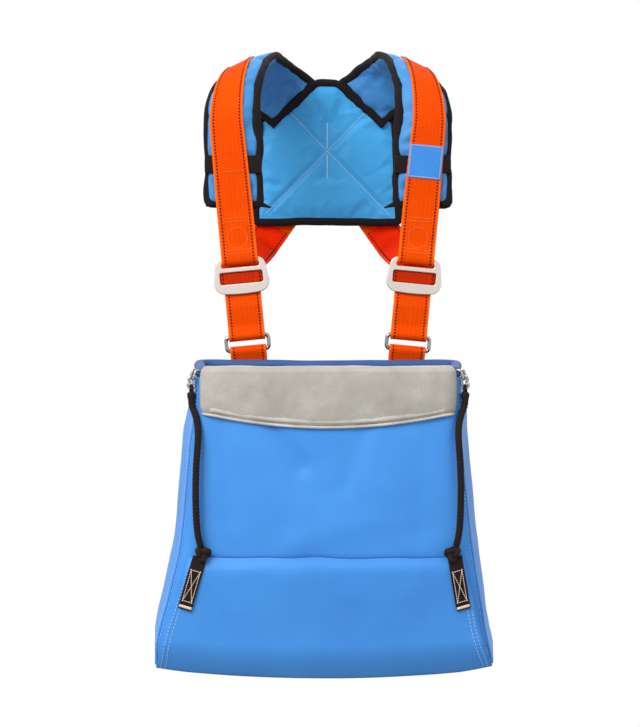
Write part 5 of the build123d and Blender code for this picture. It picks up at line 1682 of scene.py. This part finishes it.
def cords():
    """Each cord from its hook down to the flap, with its loop, wound sleeve and knot."""
    steps = np.linspace(0, 1, 13)
    worn = 0.35 * ramp(steps, 0.25, 0.0) ** 2 + 0.2 * ramp(steps, 0.6, 1.0)
    wound = 1 + 0.06 * np.cos(steps * 12 * pi) - worn
    for side in SIDES:
        route = np.array(CORD_ROUTE) * FLIP[side]
        line = smooth_line(route)
        cord = plaited(f"{side}_cord", line, CORD_DIAMETER / 2)
        dress(cord, CORD_BRAID, "chute_flap", "black_cord", f"cord_{side}")
        knot = plaited(f"{side}_cord_knot", knot_line(side), 0.0038)
        dress(knot, CORD_BRAID, "chute_flap", "black_cord", f"cord_knot_{side}")
        winding = np.linspace(route[0] + (0.0, 0.0, SLEEVE_LENGTH), route[0], 13)
        sleeve = tube(f"{side}_cord_sleeve", winding, facing_front(winding), 0.0052, 0.0052, sides=16,
                      flare=wound)
        dress(sleeve, CORD_BRAID, "chute_flap", "black_cord", f"cord_sleeve_{side}")
        loop = plaited(f"{side}_cord_loop", loop_line(side), 0.0015, pitch=0.005)
        dress(loop, CORD_BRAID, "chute_flap", "black_cord", f"cord_loop_{side}")


# Metal that keeps its own solid

def finish_metal():
    """Finishes of the buckles, rings, hooks and eyes."""
    for kind, material in (("buckle_frame", BUCKLE_METAL), ("buckle_pin", CHROME), ("strap_ring", CHROME),
                           ("cord_hook", STEEL), ("rim_eye", STEEL)):
        for side in SIDES:
            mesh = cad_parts[f"{kind}_{side}"].data
            mesh.materials.clear()
            mesh.materials.append(material)


# Stage

def place_in_scene(holder):
    """Put a lamp's or the camera's holder into the scene."""
    bpy.context.scene.collection.objects.link(holder)


def grey_floor():
    """Matt grey floor, well below the opened chute."""
    material, tree = new_tree("floor, matt grey")
    place = add(tree, "TexCoord").outputs["Object"]
    speck = add(tree, "TexNoise", {"Vector": place, "Scale": 6.0, "Detail": 3.0})
    tone = add(tree, "Mix", {"Factor": speck.outputs["Fac"], "A": linear("#B4B4B2"), "B": linear("#ACACAA")},
               data_type="RGBA")
    shade(tree, {"Base Color": tone.outputs["Result"], "Roughness": 0.8})
    bpy.ops.object.select_all(action="DESELECT")
    bpy.ops.mesh.primitive_grid_add(x_subdivisions=4, y_subdivisions=4, size=FLOOR_SIZE)
    floor = bpy.context.object
    floor.name = "floor"
    floor.data.transform(Matrix.Translation((0.0, 0.0, FLOOR_LEVEL)))
    floor.data.materials.append(material)


def white_surroundings():
    """White to the camera and in reflections; as light, soft from above and dim from below."""
    world = bpy.data.worlds.new("white studio")
    world.use_nodes = True
    tree = world.node_tree
    tree.nodes.clear()
    path = add(tree, "LightPath")
    seen = add(tree, "Math", {0: path.outputs["Is Camera Ray"], 1: path.outputs["Is Glossy Ray"]},
               operation="MAXIMUM")
    shown = add(tree, "Math", {0: seen.outputs[0], 1: path.outputs["Is Transmission Ray"]},
                operation="MAXIMUM")
    upward = add(tree, "SeparateXYZ", {0: add(tree, "TexCoord").outputs["Generated"]}).outputs["Z"]
    soft = add(tree, "MapRange", {"Value": upward, "From Min": -0.8, "From Max": 0.8,
                                  "To Min": 0.16, "To Max": 0.82})
    strength = add(tree, "Mix", {"Factor": shown.outputs[0], "A": soft.outputs[0], "B": 1.0},
                   data_type="FLOAT")
    sky = add(tree, "Background", {"Color": (1.0, 1.0, 1.0, 1.0), "Strength": strength.outputs[0]})
    add(tree, "OutputWorld", {"Surface": sky.outputs[0]})
    bpy.context.scene.world = world


def stage():
    """Floor, surroundings, soft lamps and the camera."""
    grey_floor()
    white_surroundings()
    for name, place, aim, size, power in LAMPS:
        lamp = bpy.data.lights.new(name, "AREA")
        lamp.size = size
        lamp.energy = power
        holder = bpy.data.objects.new(name, lamp)
        holder.location = place
        holder.rotation_euler = (Vector(aim) - Vector(place)).to_track_quat("-Z", "Y").to_euler()
        place_in_scene(holder)
    camera = bpy.data.cameras.new("camera")
    camera.lens = CAMERA_LENS
    holder = bpy.data.objects.new("camera", camera)
    holder.location = CAMERA_PLACE
    holder.rotation_euler = (radians(90 - CAMERA_PITCH), 0.0, 0.0)
    place_in_scene(holder)
    bpy.context.scene.camera = holder
    bpy.context.scene.view_settings.view_transform = "Standard"


stage()
cords()
bag_panels()
bag_seams()
rim_hem()
rim_pad()
rim_piping()
chute_floor()
chute_lining()
chute_flap()
chute_bellows()
flap_tabs()
for pad_side in SIDES:
    shoulder_pad(pad_side)
    pad_binding(pad_side)
    binding_ends(pad_side)
    keeper_band(pad_side)
back_panel()
back_panel_binding()
seam_tapes()
quilt_stitches()
harness_straps()
sewn_ends()
strap_label()
buckle_guards()
shaded_slot_straps()
finish_metal()
